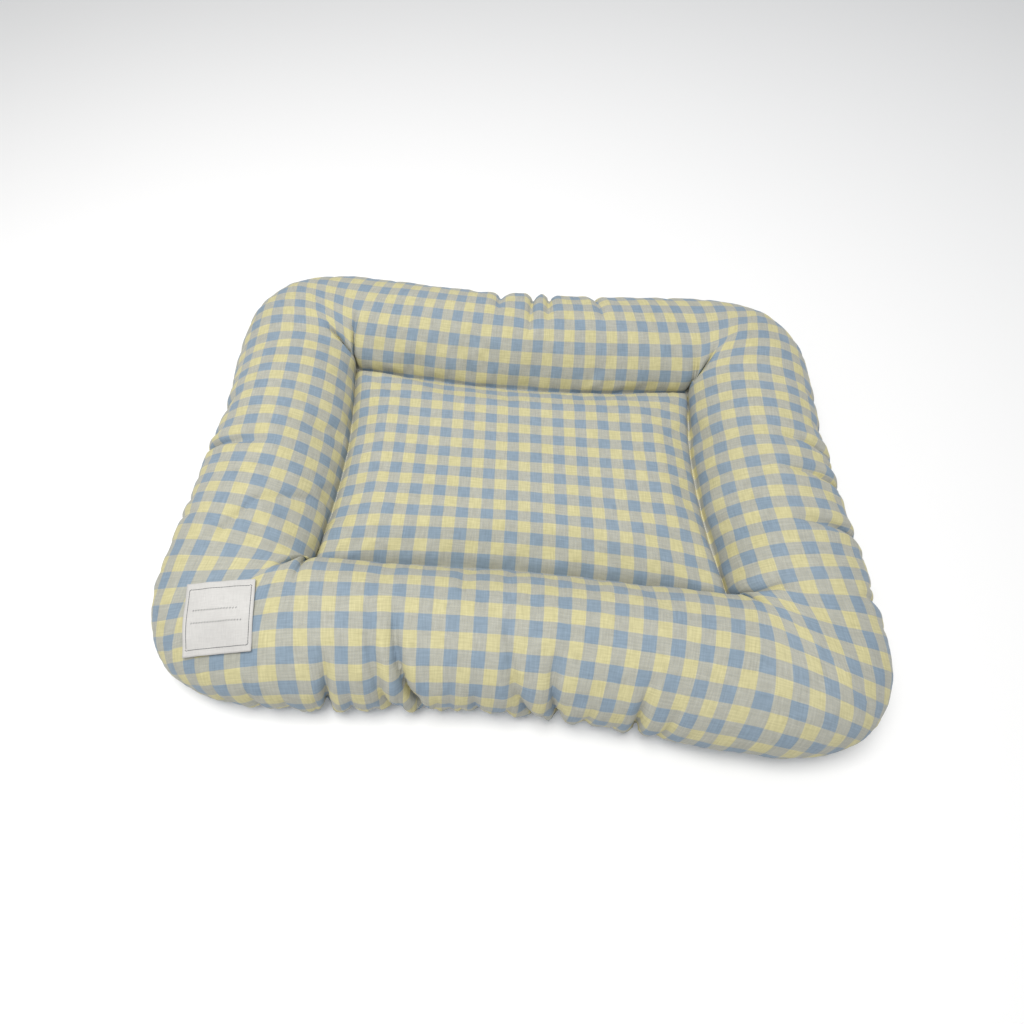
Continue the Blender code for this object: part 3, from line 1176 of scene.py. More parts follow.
        bpy.data.meshes.remove(result)
        remove_object(cloth_object)
        remove_object(ground)
        scene.frame_set(1)
        return points

    def _fit(self, points: Array) -> Array:
        """Brings the settled shape back to the frame's box and stands it on the floor."""
        low, high = (np.array(v) for v in CAD_BOX)
        span = points.max(0) - points.min(0)
        want = high - low
        points = points - (points.max(0) + points.min(0)) / 2
        points = points * (want / span)
        return points + (high + low) / 2


def grid_faces(ids: Array, face_up: bool) -> Array:
    """Joins a grid of point numbers into quads.

    Args:
        ids: Point numbers in rows and columns.
        face_up: Which way the faces turn.

    Returns:
        Rows of four point numbers.
    """
    quads = np.stack([ids[:-1, :-1], ids[:-1, 1:], ids[1:, 1:], ids[1:, :-1]], -1).reshape(-1, 4)
    return quads if face_up else quads[:, ::-1]


@dataclass
class Cover:
    """The two cover panels and the stuffing inside them.

    The stuffing is set in from the cloth by a fixed inset, and more under the fold
    lines. Near the outer seam a few of its faces still cross the panels.
    """

    shape: BedShape
    cloth: float = 0.0009
    seam_gap: float = 0.0012
    seam_sink: float = 0.0022
    turn_in: float = 0.004
    inset: float = 0.0075
    fold_press: float = 0.42
    fold_narrow: float = 0.36
    fold_clearance: float = 1.3
    seam_sink_width: float = 0.006
    outer_pucker: float = 0.0013
    inner_pucker: float = 0.0005
    wide_pucker: float = 0.0004
    base_pucker_share: float = 0.7
    least_share: float = 0.35

    def build(self, finishes: dict[str, bpy.types.Material]) -> dict[str, bpy.types.Object]:
        """Builds every piece of the cover.

        Args:
            finishes: The materials by name.

        Returns:
            The finished pieces by name.
        """
        self.top_points, self.base_points = self.shape.settle()
        self.top = self._panel("gingham_top", Panel.TOP, finishes["checked_cloth"])
        self.base = self._panel("base_panel", Panel.BASE, finishes["base_cloth"])
        rim = self._stuffing("rim_stuffing", True, finishes["rim_fibre"])
        pad = self._stuffing("pad_stuffing", False, finishes["pad_fibre"])
        return {"top": self.top, "base": self.base, "rim": rim, "pad": pad}

    def _panel(self, name: str, panel: Panel, material: bpy.types.Material) -> bpy.types.Object:
        """Makes one panel as a sheet of cloth with its edge turned in.

        Args:
            name: The piece's name.
            panel: Which panel.
            material: Its finish.

        Returns:
            The panel.
        """
        cut, top = self.shape.cut, panel is Panel.TOP
        sign = 1 if top else -1
        points = (self.top_points if top else self.base_points).copy()
        flat_x, flat_y = (v.ravel() for v in (self.shape.pattern() if top else cut.flat()))
        dx, dy = (v.ravel() for v in cut.outside())
        pad_in = np.minimum(
            cut.pad_half_length - np.abs(cut.x.ravel()), cut.pad_half_width - np.abs(cut.y.ravel())
        )
        to_inner = np.where(pad_in > 0, pad_in, np.maximum(dx, dy) * cut.rim)
        to_outer = (1 - np.maximum(dx, dy)) * cut.rim
        sink = self.seam_sink + (0 if top else 2 * self.seam_gap)
        points[:, 2] -= sink * np.exp(-((to_inner / self.seam_sink_width) ** 2))
        points[:, 2] += sign * 0.00025 * np.exp(-((to_outer / 0.006) ** 2))
        edge = cut.ring(0)
        inward = -points[edge]
        inward[:, 2] = 0
        inward /= np.linalg.norm(inward, axis=1, keepdims=True)
        tuck = points[edge] + inward * self.turn_in
        tuck[:, 2] = points[edge][:, 2]
        count = len(points)
        tuck_ids = count + np.arange(len(edge))
        faces = grid_faces(np.arange(count).reshape(cut.x.shape), top)
        after = np.roll(edge, -1)
        tuck_after = np.roll(tuck_ids, -1)
        hem = np.stack([edge, tuck_ids, tuck_after, after], -1)
        hem = hem if top else hem[:, ::-1]
        every = np.concatenate([points, tuck])
        mesh = bpy.data.meshes.new(name)
        mesh.from_pydata(every.tolist(), [], np.concatenate([faces, hem]).tolist())
        away = np.stack([flat_x[edge], flat_y[edge]], -1)
        away = away * (1 + self.turn_in / np.linalg.norm(away, axis=1, keepdims=True))
        uv_points = np.concatenate([np.stack([flat_x, flat_y], -1), away])
        corner = np.empty(len(mesh.loops), dtype=np.int32)
        mesh.loops.foreach_get("vertex_index", corner)
        uv = mesh.uv_layers.new(name=UV_NAME)
        uv.data.foreach_set("uv", uv_points[corner].astype(np.float32).ravel())
        for label, values in (("to_inner", to_inner), ("to_outer", to_outer)):
            layer = mesh.attributes.new(label, "FLOAT", "POINT")
            padded_values = np.concatenate([values, np.zeros(len(edge))])
            layer.data.foreach_set("value", padded_values.astype(np.float32))
        for label, grid in (("cut_x", cut.x.ravel()), ("cut_y", cut.y.ravel())):
            layer = mesh.attributes.new(label, "FLOAT", "POINT")
            layer.data.foreach_set("value", np.concatenate([grid, grid[edge]]).astype(np.float32))
        piece = add_object(mesh, name)
        smooth = piece.modifiers.new("smooth", "SUBSURF")
        smooth.levels = smooth.render_levels = 1
        smooth.uv_smooth = "NONE"
        smooth.boundary_smooth = "PRESERVE_CORNERS"
        fine = plain_mesh(piece, name + "_fine")
        self._pucker(fine, top)
        old = piece.data
        piece.modifiers.clear()
        piece.data = fine
        bpy.data.meshes.remove(old)
        fine.materials.clear()
        fine.materials.append(material)
        shell = piece.modifiers.new("cloth", "SOLIDIFY")
        shell.thickness = self.cloth
        shell.offset = -1
        shell.use_even_offset = False
        done = plain_mesh(piece, name)
        piece.modifiers.clear()
        piece.data = done
        bpy.data.meshes.remove(fine)
        done.polygons.foreach_set("use_smooth", [True] * len(done.polygons))
        for label in PANEL_MARKS:
            if label in done.attributes:
                done.attributes.remove(done.attributes[label])
        LOG.info("%s: %d faces", name, len(done.polygons))
        return piece

    def _pucker(self, mesh: bpy.types.Mesh, top: bool) -> None:
        """Presses small uneven puckers and sharp fold lines into a panel.

        Args:
            mesh: The subdivided panel.
            top: True for the top panel.
        """
        cut = self.shape.cut
        values = {}
        for label in PANEL_MARKS:
            data = np.empty(len(mesh.vertices), dtype=np.float32)
            mesh.attributes[label].data.foreach_get("value", data)
            values[label] = data.astype(float)
        x, y = values["cut_x"], values["cut_y"]
        beyond_x, beyond_y = np.abs(x) - cut.pad_half_length, np.abs(y) - cut.pad_half_width
        along = np.where(beyond_y > beyond_x, x, y + 3.0)
        outer = ripple(along, (0.0093, 0.0127, 0.0171, 0.0229), 11)
        inner = ripple(along, (0.0087, 0.0119, 0.0151), 23)
        wide = ripple(x * 0.8 + y * 0.6, (0.047, 0.071), 5)
        wide = wide + ripple(x * 0.5 - y * 0.9, (0.039, 0.083), 6)
        near_outer = np.exp(-values["to_outer"] / 0.020)
        near_inner = np.exp(-values["to_inner"] / 0.012)
        depth = self.outer_pucker * outer * near_outer + self.inner_pucker * inner * near_inner
        depth = depth + self.wide_pucker * wide
        if not top:
            depth *= self.base_pucker_share
        in_rim = np.maximum(beyond_x, beyond_y) > 0
        if top:
            for fold in self.shape.folds:
                depth -= in_rim * self.fold_press * fold.press(x, y, self.fold_narrow)
        depth *= (values["to_outer"] > 0.0005) * (1 - np.exp(-values["to_inner"] / 0.004))
        set_points(mesh, points_of(mesh) + normals_of(mesh) * depth[:, None])

    def _stuffing(self, name: str, rim: bool, material: bpy.types.Material) -> bpy.types.Object:
        """Makes the stuffing of the rim or of the pad as a closed body inside the cover.

        Args:
            name: The piece's name.
            rim: True for the rim, False for the pad.
            material: Its finish.

        Returns:
            The stuffing.
        """
        cut = self.shape.cut
        rows, columns = cut.x.shape
        dx, dy = cut.outside()
        shared = (cut.outer_edge() if rim else np.zeros_like(dx, dtype=bool)) | cut.inner_seam()
        shared = shared.ravel()
        count = rows * columns
        top_ids = np.arange(count).reshape(rows, columns)
        base_ids = np.where(shared, np.arange(count), count + np.arange(count))
        base_ids = base_ids.reshape(rows, columns)
        centre_x = (cut.x[:-1, :-1] + cut.x[1:, 1:]) / 2
        centre_y = (cut.y[:-1, :-1] + cut.y[1:, 1:]) / 2
        in_pad = np.abs(centre_x) < cut.pad_half_length
        in_pad = (in_pad & (np.abs(centre_y) < cut.pad_half_width)).ravel()
        keep = ~in_pad if rim else in_pad
        faces = np.concatenate(
            [grid_faces(top_ids, True)[keep], grid_faces(base_ids, False)[keep]]
        )
        points = np.concatenate([self.top_points, self.base_points])
        used, faces = np.unique(faces, return_inverse=True)
        faces = faces.reshape(-1, 4)
        core = self._core(rim)
        reach = points - core
        span = np.maximum(np.linalg.norm(reach, axis=1), 1e-6)
        share = 1 - self.inset / span
        if rim:
            share[:count] -= self.fold_clearance * self._fold_depth() / span[:count]
        points = core + reach * np.maximum(share, self.least_share)[:, None]
        mesh = bpy.data.meshes.new(name)
        mesh.from_pydata(points[used].tolist(), [], faces.tolist())
        mesh.polygons.foreach_set("use_smooth", [True] * len(mesh.polygons))
        mesh.materials.append(material)
        piece = add_object(mesh, name)
        LOG.info("%s: %d faces", name, len(mesh.polygons))
        return piece

    def _fold_depth(self) -> Array:
        """Adds up how deep the top panel's fold lines press towards the stuffing."""
        cut = self.shape.cut
        x, y = cut.x.ravel(), cut.y.ravel()
        total = sum(np.maximum(fold.press(x, y, 1.0), 0) for fold in self.shape.folds)
        return self.fold_press * total

    def _core(self, rim: bool) -> Array:
        """Gives the line or point that each stuffing point shrinks towards."""
        top, base = self.top_points, self.base_points
        if not rim:
            core = np.concatenate([top, base])
            core[:, :2] *= 0.72
            core[:, 2] = (np.concatenate([base[:, 2] + top[:, 2]] * 2)) / 2
            return core
        cut = self.shape.cut
        dx, dy = (v.ravel() for v in cut.outside())
        out = np.maximum(dx, dy)
        middle = np.zeros_like(top)
        seam_x = np.clip(cut.x.ravel(), -cut.pad_half_length, cut.pad_half_length)
        seam_y = np.clip(cut.y.ravel(), -cut.pad_half_width, cut.pad_half_width)
        safe = np.maximum(out, 1e-9)
        half = cut.rim / 2
        want_x = seam_x + np.sign(cut.x.ravel()) * dx / safe * half
        want_y = seam_y + np.sign(cut.y.ravel()) * dy / safe * half
        middle[:, 0] = self._sample(want_x, want_y, 0)
        middle[:, 1] = self._sample(want_x, want_y, 1)
        middle[:, 2] = self.shape.seam_height
        return np.concatenate([middle, middle])

    def _sample(self, x: Array, y: Array, axis: int) -> Array:
        """Reads the top panel's position at flat places, between grid points."""
        cut = self.shape.cut
        lines_x, lines_y = cut.x[0], cut.y[:, 0]
        grid = self.top_points[:, axis].reshape(cut.x.shape)
        i = np.clip(np.searchsorted(lines_x, x) - 1, 0, len(lines_x) - 2)
        j = np.clip(np.searchsorted(lines_y, y) - 1, 0, len(lines_y) - 2)
        fx = np.clip((x - lines_x[i]) / (lines_x[i + 1] - lines_x[i]), 0, 1)
        fy = np.clip((y - lines_y[j]) / (lines_y[j + 1] - lines_y[j]), 0, 1)
        low = grid[j, i] * (1 - fx) + grid[j, i + 1] * fx
        high = grid[j + 1, i] * (1 - fx) + grid[j + 1, i + 1] * fx
        return low * (1 - fy) + high * fy


# --------------------------------------------------------------------------
# Stitches
# --------------------------------------------------------------------------


@dataclass
class StitchRun:
    """Lays one row of stitches along a path by Geometry Nodes."""

    name: str
    path: Array
    up: Array
    closed: bool
    pitch: float = 0.0030
    length: float = 0.0024
    thickness: float = 0.0004
    dip: float = 0.0004
    slant: float = 0.0
    sides: int = 6
    seed: int = 1

    def build(self, material: bpy.types.Material) -> bpy.types.Object:
        """Makes the stitches as one plain mesh.

        Args:
            material: The thread's finish.

        Returns:
            The row of stitches.
        """
        mesh = bpy.data.meshes.new(self.name + "_path")
        count = len(self.path)
        edges = [(i, i + 1) for i in range(count - 1)]
        if self.closed:
            edges.append((count - 1, 0))
        mesh.from_pydata(self.path.tolist(), edges, [])
        layer = mesh.attributes.new(UP_NAME, "FLOAT_VECTOR", "POINT")
        layer.data.foreach_set("vector", self.up.astype(np.float32).ravel())
        piece = add_object(mesh, self.name)
        tree, sockets = stitch_tree(material)
        modifier = piece.modifiers.new("stitches", "NODES")
        modifier.node_group = tree
        for label, value in (
            ("Pitch", self.pitch),
            ("Stitch Length", self.length),
            ("Thread Radius", self.thickness / 2),
            ("Dip", self.dip),
            ("Slant", self.slant),
            ("Sides", self.sides),
            ("Seed", self.seed),
        ):
            modifier[sockets[label]] = value
        done = plain_mesh(piece, self.name)
        piece.modifiers.clear()
        piece.data = done
        bpy.data.meshes.remove(mesh)
        done.materials.clear()
        done.materials.append(material)
        done.polygons.foreach_set("material_index", [0] * len(done.polygons))
        LOG.info("%s: %d faces", self.name, len(done.polygons))
        return piece


def stitch_tree(material: bpy.types.Material) -> tuple[bpy.types.NodeTree, dict[str, str]]:
    """Builds the Geometry Nodes tree that lays stitches in a thread's finish, once.

    Args:
        material: The thread's finish, set by the tree.

    Returns:
        The tree, and each input's identifier by name.
    """
    name = "stitch_run_" + material.name
    if name in bpy.data.node_groups:
        tree = bpy.data.node_groups[name]
        return tree, input_names(tree)
    tree = bpy.data.node_groups.new(name, "GeometryNodeTree")
    face = tree.interface
    face.new_socket("Geometry", in_out="INPUT", socket_type="NodeSocketGeometry")
    for label in ("Pitch", "Stitch Length", "Thread Radius", "Dip", "Slant"):
        face.new_socket(label, in_out="INPUT", socket_type="NodeSocketFloat")
    face.new_socket("Sides", in_out="INPUT", socket_type="NodeSocketInt")
    face.new_socket("Seed", in_out="INPUT", socket_type="NodeSocketInt")
    face.new_socket("Geometry", in_out="OUTPUT", socket_type="NodeSocketGeometry")
    g = Graph(tree)
    given = g.node("NodeGroupInput").outputs
    curve = g.node("GeometryNodeMeshToCurve")
    g.feed(curve.inputs["Mesh"], given["Geometry"])
    points = g.node("GeometryNodeCurveToPoints", mode="LENGTH")
    g.feed(points.inputs["Curve"], curve.outputs[0])
    g.feed(points.inputs["Length"], given["Pitch"])
    along = g.node("FunctionNodeAlignRotationToVector", axis="X")
    g.feed(along.inputs["Vector"], points.outputs["Tangent"])
    up = g.node("GeometryNodeInputNamedAttribute", data_type="FLOAT_VECTOR")
    up.inputs["Name"].default_value = UP_NAME
    upright = g.node("FunctionNodeAlignRotationToVector", axis="Z", pivot_axis="X")
    g.feed(upright.inputs["Rotation"], along.outputs[0])
    g.feed(upright.inputs["Vector"], up.outputs["Attribute"])
    wobble = g.node("FunctionNodeRandomValue", data_type="FLOAT")
    wobble.inputs[2].default_value = -0.06
    wobble.inputs[3].default_value = 0.06
    g.feed(wobble.inputs["Seed"], given["Seed"])
    angle = g.node("ShaderNodeCombineXYZ")
    g.feed(angle.inputs[2], g.math("ADD", wobble.outputs[1], given["Slant"]))
    turned = g.node("FunctionNodeRotateRotation", rotation_space="LOCAL")
    g.feed(turned.inputs["Rotation"], upright.outputs[0])
    g.feed(turned.inputs["Rotate By"], angle.outputs[0])
    half = g.math("MULTIPLY", given["Stitch Length"], 0.5)
    down = g.math("MULTIPLY", given["Dip"], -1.0)

    def place(x: object, z: object) -> bpy.types.NodeSocket:
        """Makes a point in a stitch's own plane."""
        node = g.node("ShaderNodeCombineXYZ")
        g.feed(node.inputs[0], x)
        g.feed(node.inputs[2], z)
        return node.outputs[0]

    bow = g.node("GeometryNodeCurveQuadraticBezier")
    bow.inputs["Resolution"].default_value = 5
    g.feed(bow.inputs["Start"], place(g.math("MULTIPLY", half, -1.0), down))
    g.feed(bow.inputs["Middle"], place(0.0, given["Dip"]))
    g.feed(bow.inputs["End"], place(half, down))
    circle = g.node("GeometryNodeCurvePrimitiveCircle")
    g.feed(circle.inputs["Resolution"], given["Sides"])
    g.feed(circle.inputs["Radius"], given["Thread Radius"])
    tube = g.node("GeometryNodeCurveToMesh")
    g.feed(tube.inputs["Curve"], bow.outputs[0])
    g.feed(tube.inputs["Profile Curve"], circle.outputs[0])
    tube.inputs["Fill Caps"].default_value = True
    many = g.node("GeometryNodeInstanceOnPoints")
    g.feed(many.inputs["Points"], points.outputs["Points"])
    g.feed(many.inputs["Instance"], tube.outputs[0])
    g.feed(many.inputs["Rotation"], turned.outputs[0])
    real = g.node("GeometryNodeRealizeInstances")
    g.feed(real.inputs[0], many.outputs[0])
    smooth = g.node("GeometryNodeSetShadeSmooth")
    g.feed(smooth.inputs["Geometry"], real.outputs[0])
    dress = g.node("GeometryNodeSetMaterial")
    dress.inputs["Material"].default_value = material
    g.feed(dress.inputs["Geometry"], smooth.outputs[0])
    g.feed(g.node("NodeGroupOutput").inputs[0], dress.outputs[0])
    return tree, input_names(tree)


def input_names(tree: bpy.types.NodeTree) -> dict[str, str]:
    """Gives the identifier of each of a tree's inputs by name."""
    return {s.name: s.identifier for s in tree.interface.items_tree if s.in_out == "INPUT"}


@dataclass
class Seams:
    """The thread in every seam of the cover."""

    cover: Cover
    thread: float = 0.0005

    def _ring(self, piece: bpy.types.Object, step: int) -> tuple[Array, Array]:
        """Reads one grid ring's points and normals from a finished panel."""
        ids = self.cover.shape.cut.ring(step)
        points, normals = points_of(piece.data), normals_of(piece.data)
        return points[ids], normals[ids]

    def build(self, material: bpy.types.Material) -> list[tuple[bpy.types.Object, str]]:
        """Lays the stitches of the inner seam, the outer seam and the closed gap.

        Args:
            material: The thread's finish.

        Returns:
            Each row with the frame node that it stands for.
        """
        cut = self.cover.shape.cut
        rows: list[tuple[bpy.types.Object, str]] = []
        inner = cut.rim_cells
        for name, piece, node in (
            ("inner_seam_needle_stitches", self.cover.top, "pad_seam_needle_thread"),
            ("inner_seam_bobbin_stitches", self.cover.base, "pad_seam_bobbin_thread"),
        ):
            points, normals = self._ring(piece, inner)
            sign = 1.0 if piece is self.cover.top else -1.0
            up = np.tile([0.0, 0.0, sign], (len(points), 1))
            run = StitchRun(name, points + up * self.thread * 0.8, up, True, thickness=self.thread)
            rows.append((run.build(material), node))
        top_edge, _ = self._ring(self.cover.top, 0)
        base_edge, _ = self._ring(self.cover.base, 0)
        middle = (top_edge + base_edge) / 2
        inward = -middle.copy()
        inward[:, 2] = 0
        inward /= np.linalg.norm(inward, axis=1, keepdims=True)
        for name, lift, node in (
            ("outer_seam_needle_stitches", 1.0, "rim_seam_needle_thread"),
            ("outer_seam_bobbin_stitches", -1.0, "rim_seam_bobbin_thread"),
        ):
            up = np.tile([0.0, 0.0, lift], (len(middle), 1))
            path = middle + inward * 0.0030 + up * (self.cover.cloth + 0.0006)
            run = StitchRun(name, path, up, True, thickness=self.thread, sides=4)
            rows.append((run.build(material), node))
        closing = np.abs(middle[:, 0]) < 0.060
        closing &= middle[:, 1] > 0
        path = middle[closing] - inward[closing] * 0.0006
        run = StitchRun(
            "closing_stitches",
            path,
            -inward[closing],
            False,
            pitch=0.0045,
            length=0.0034,
            thickness=self.thread,
            slant=math.radians(58),
        )
        rows.append((run.build(material), "closing_thread"))
        return rows


# --------------------------------------------------------------------------
# Label
# --------------------------------------------------------------------------


@dataclass
class Label:
    """The woven label sewn on the rim's front left corner."""

    top: bpy.types.Object
    width: float = 0.067
    depth: float = 0.070
    turn: float = math.radians(9)
    cloth: float = 0.0006
    slip: float = 0.008
    side_margin: float = 0.0034
    end_margin: float = 0.0062
    cells: int = 34

    def _surface(self) -> tuple[Array, Array]:
        """Lays the label's grid on the cover.

        Returns:
            The points of the label's underside and the label's own normal.
        """
        low, high = (Vector(v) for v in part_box("label"))
        centre = (low + high) / 2 + Vector((0.0, -self.slip, 0.0))
        mesh = self.top.data
        tree = BVHTree.FromPolygons(
            [v.co for v in mesh.vertices], [p.vertices for p in mesh.polygons]
        )
        turn = Matrix.Rotation(self.turn, 3, "Z")
        across, along = turn @ Vector((1, 0, 0)), turn @ Vector((0, 1, 0))

        def drop(x: float, y: float) -> float:
            """Finds the cover's height under a point."""
            hit = tree.ray_cast(Vector((x, y, 0.3)), Vector((0, 0, -1)))
            return hit[0].z if hit[0] is not None else 0.05

        def slope(direction: Vector, reach: float) -> float:
            """Measures the cover's mean slope across the label."""
            a, b = centre + direction * reach, centre - direction * reach
            return (drop(a.x, a.y) - drop(b.x, b.y)) / (2 * reach)

        rise_x = slope(across, self.width * 0.3)
        rise_y = slope(along, self.depth * 0.3)
        across = (across + Vector((0, 0, rise_x))).normalized()
        along = (along + Vector((0, 0, rise_y))).normalized()
        normal = across.cross(along).normalized()
        along = normal.cross(across).normalized()
        origin = Vector((centre.x, centre.y, drop(centre.x, centre.y)))
        steps = np.linspace(-0.5, 0.5, self.cells + 1)
        heights = np.zeros((len(steps), len(steps)))
        for j, v in enumerate(steps):
            for i, u in enumerate(steps):
                place = origin + across * (u * self.width) + along * (v * self.depth)
                hit = tree.ray_cast(place + normal * 0.08, -normal)
                heights[j, i] = (hit[0] - place).dot(normal) if hit[0] is not None else np.nan
        heights = np.where(np.isnan(heights), np.nanmean(heights), heights)
        smooth = heights.copy()
        for _ in range(40):
            wide = np.pad(smooth, 1, mode="edge")
            mean = (wide[:-2, 1:-1] + wide[2:, 1:-1] + wide[1:-1, :-2] + wide[1:-1, 2:]) / 4
            smooth = np.maximum(mean, heights)
        u, v = np.meshgrid(steps * self.width, steps * self.depth)
        smooth = smooth + 0.0003 + 0.0007 * (ripple(u + v * 0.6, (0.023, 0.037), 31) + 1)
        points = (
            np.array(origin)
            + u[..., None] * np.array(across)
            + v[..., None] * np.array(along)
            + smooth[..., None] * np.array(normal)
        )
        self.u, self.v = u, v
        return points, np.array(normal)

    def build(
        self, cloth: bpy.types.Material, thread: bpy.types.Material
    ) -> tuple[bpy.types.Object, bpy.types.Object, bpy.types.Object]:
        """Makes the label, its border stitches and its two rows of dashes.

        Args:
            cloth: The label's finish.
            thread: The thread's finish.

        Returns:
            The label, the border stitches and the dashes.
        """
        points, normal = self._surface()
        rows, columns = points.shape[:2]
        mesh = bpy.data.meshes.new("label_cloth")
        faces = grid_faces(np.arange(rows * columns).reshape(rows, columns), True)
        mesh.from_pydata(points.reshape(-1, 3).tolist(), [], faces.tolist())
        corner = np.empty(len(mesh.loops), dtype=np.int32)
        mesh.loops.foreach_get("vertex_index", corner)
        uv = mesh.uv_layers.new(name=UV_NAME)
        flat = np.stack([self.u.ravel(), self.v.ravel()], -1)
        uv.data.foreach_set("uv", flat[corner].astype(np.float32).ravel())
        mesh.materials.append(cloth)
        piece = add_object(mesh, "label_cloth")
        shell = piece.modifiers.new("cloth", "SOLIDIFY")
        shell.thickness = self.cloth
        shell.offset = 1
        done = plain_mesh(piece, "label_cloth")
        piece.modifiers.clear()
        piece.data = done
        done.polygons.foreach_set("use_smooth", [True] * len(done.polygons))
        surface = points + normal * (self.cloth + 0.00012)
        border = self._line(surface, self._border())
        up = np.tile(normal, (len(border), 1))
        edge = StitchRun(
            "label_border_stitches", border, up, True,
            pitch=0.0026, length=0.0023, thickness=0.00055, dip=0.00022, seed=4,
        ).build(thread)
        dashes = self._dashes(surface, normal, thread)
        return piece, edge, dashes

    def _border(self) -> Array:
        """Lists the border's flat points in order."""
        a, b = self.width / 2 - self.side_margin, self.depth / 2 - self.end_margin
        corners = np.array([(-a, -b), (a, -b), (a, b), (-a, b), (-a, -b)])
        share = np.linspace(0, 1, 24, endpoint=False)[:, None]
        runs = [
            corners[i] + (corners[i + 1] - corners[i]) * share
            for i in range(4)
        ]
        return np.concatenate(runs)

    def _line(self, surface: Array, flat: Array) -> Array:
        """Reads points of the label's face at flat places."""
        cells = self.cells
        s = np.clip((flat[:, 0] / self.width + 0.5) * cells, 0, cells - 1e-6)
        t = np.clip((flat[:, 1] / self.depth + 0.5) * cells, 0, cells - 1e-6)
        i, j = s.astype(int), t.astype(int)
        fs, ft = (s - i)[:, None], (t - j)[:, None]
        low = surface[j, i] * (1 - fs) + surface[j, i + 1] * fs
        high = surface[j + 1, i] * (1 - fs) + surface[j + 1, i + 1] * fs
        return low * (1 - ft) + high * ft

    def _dashes(
        self, surface: Array, normal: Array, thread: bpy.types.Material
    ) -> bpy.types.Object:
        """Sews two plain rows of short dashes across the label's middle."""
        parts = []
        rows = ((0.0075, -0.024, 0.017), (-0.0045, -0.025, 0.022))
        for row, (height, first, last) in enumerate(rows):
            flat = np.stack([np.linspace(first, last, 40), np.full(40, height)], -1)
            path = self._line(surface, flat)
            up = np.tile(normal, (len(path), 1))
            run = StitchRun(
                f"label_dashes_{row}", path, up, False,
                pitch=0.0026, length=0.0016, thickness=0.0006, dip=0.0001,
                slant=math.radians(62), seed=9 + row,
            )
            parts.append(run.build(thread))
        return join_pieces(parts, "label_dashes")


def join_pieces(parts: list[bpy.types.Object], name: str) -> bpy.types.Object:
    """Joins plain mesh pieces into one.

    Args:
        parts: The pieces, which are removed.
        name: The name of the joined piece.

    Returns:
        The joined piece.
    """
    points, faces, start = [], [], 0
    for part in parts:
        own = points_of(part.data)
        points.append(own)
        faces += [[start + i for i in p.vertices] for p in part.data.polygons]
        start += len(own)
    mesh = bpy.data.meshes.new(name)
    mesh.from_pydata(np.concatenate(points).tolist(), [], faces)
    mesh.materials.append(parts[0].data.materials[0])
    mesh.polygons.foreach_set("use_smooth", [True] * len(mesh.polygons))
    for part in parts:
        remove_object(part)
    return add_object(mesh, name)


# --------------------------------------------------------------------------
# Studio
# --------------------------------------------------------------------------


@dataclass
class Studio:
    """The pale floor, the soft light and the camera."""

    aim: tuple[float, float, float] = (-0.0795, -0.0640, 0.03)
    distance: float = 0.698
    elevation: float = math.radians(59.4)
    azimuth: float = math.radians(5.23)
    roll: float = math.radians(0.1)
    lens: float = 21.392578125
    sensor: float = 36.0
    shift: tuple[float, float] = (0.0654, -0.0006)
    floor_half: float = 6.0
    key_power: float = 28.0
    fill_power: float = 4.0
    sky: float = 0.47

    def build(self) -> bpy.types.Object:
        """Builds the studio.

        Returns:
            The floor.
        """
        mesh = bpy.data.meshes.new("studio_floor")
        size = self.floor_half
        mesh.from_pydata(
            [(-size, -size, 0), (size, -size, 0), (size, size, 0), (-size, size, 0)],
            [],
            [(0, 1, 2, 3)],
        )
        mesh.materials.append(FloorFinish().material())
        floor = add_object(mesh, "studio_floor")
        self._camera()
        self._light("key", (-0.4, -0.2, 1.8), 1.0, self.key_power, (1.0, 0.985, 0.965))
        self._light("fill", (0.9, 0.9, 1.6), 1.8, self.fill_power, (0.95, 0.97, 1.0))
        world = bpy.data.worlds.new("studio")
        world.use_nodes = True
        back = world.node_tree.nodes["Background"]
        back.inputs[0].default_value = (0.97, 0.985, 1.0, 1.0)
        back.inputs[1].default_value = self.sky
        scene = bpy.context.scene
        scene.world = world
        scene.view_settings.view_transform = "Standard"
        return floor

    def _camera(self) -> None:
        """Sets the camera round its aim point."""
        cosine = math.cos(self.elevation)
        back = Vector(
            (
                math.sin(self.azimuth) * cosine,
                -math.cos(self.azimuth) * cosine,
                math.sin(self.elevation),
            )
        )
        eye = Vector(self.aim) + back * self.distance
        right = (-back).cross(Vector((0, 0, 1))).normalized()
        up = right.cross(-back)
        right, up = (
            right * math.cos(self.roll) + up * math.sin(self.roll),
            up * math.cos(self.roll) - right * math.sin(self.roll),
        )
        data = bpy.data.cameras.new("camera")
        data.sensor_width = self.sensor
        data.lens = self.lens
        data.shift_x, data.shift_y = self.shift
        data.clip_start = 0.01
        camera = bpy.data.objects.new("camera", data)
        camera.matrix_world = Matrix(
            (
                (right.x, up.x, back.x, eye.x),
                (right.y, up.y, back.y, eye.y),
                (right.z, up.z, back.z, eye.z),
                (0, 0, 0, 1),
            )
        )
        bpy.context.scene.collection.objects.link(camera)
        bpy.context.scene.camera = camera

    def _light(
        self,
        name: str,
        place: tuple[float, float, float],
        size: float,
        power: float,
        colour: tuple[float, float, float],
    ) -> None:
        """Adds a soft square light that faces the bed."""
        data = bpy.data.lights.new(name, "AREA")
        data.energy, data.size, data.color = power, size, colour
        lamp = bpy.data.objects.new(name, data)
        lamp.location = place
        lamp.rotation_euler = (-Vector(place)).to_track_quat("-Z", "Y").to_euler()
        bpy.context.scene.collection.objects.link(lamp)


# --------------------------------------------------------------------------
# The whole bed
# --------------------------------------------------------------------------


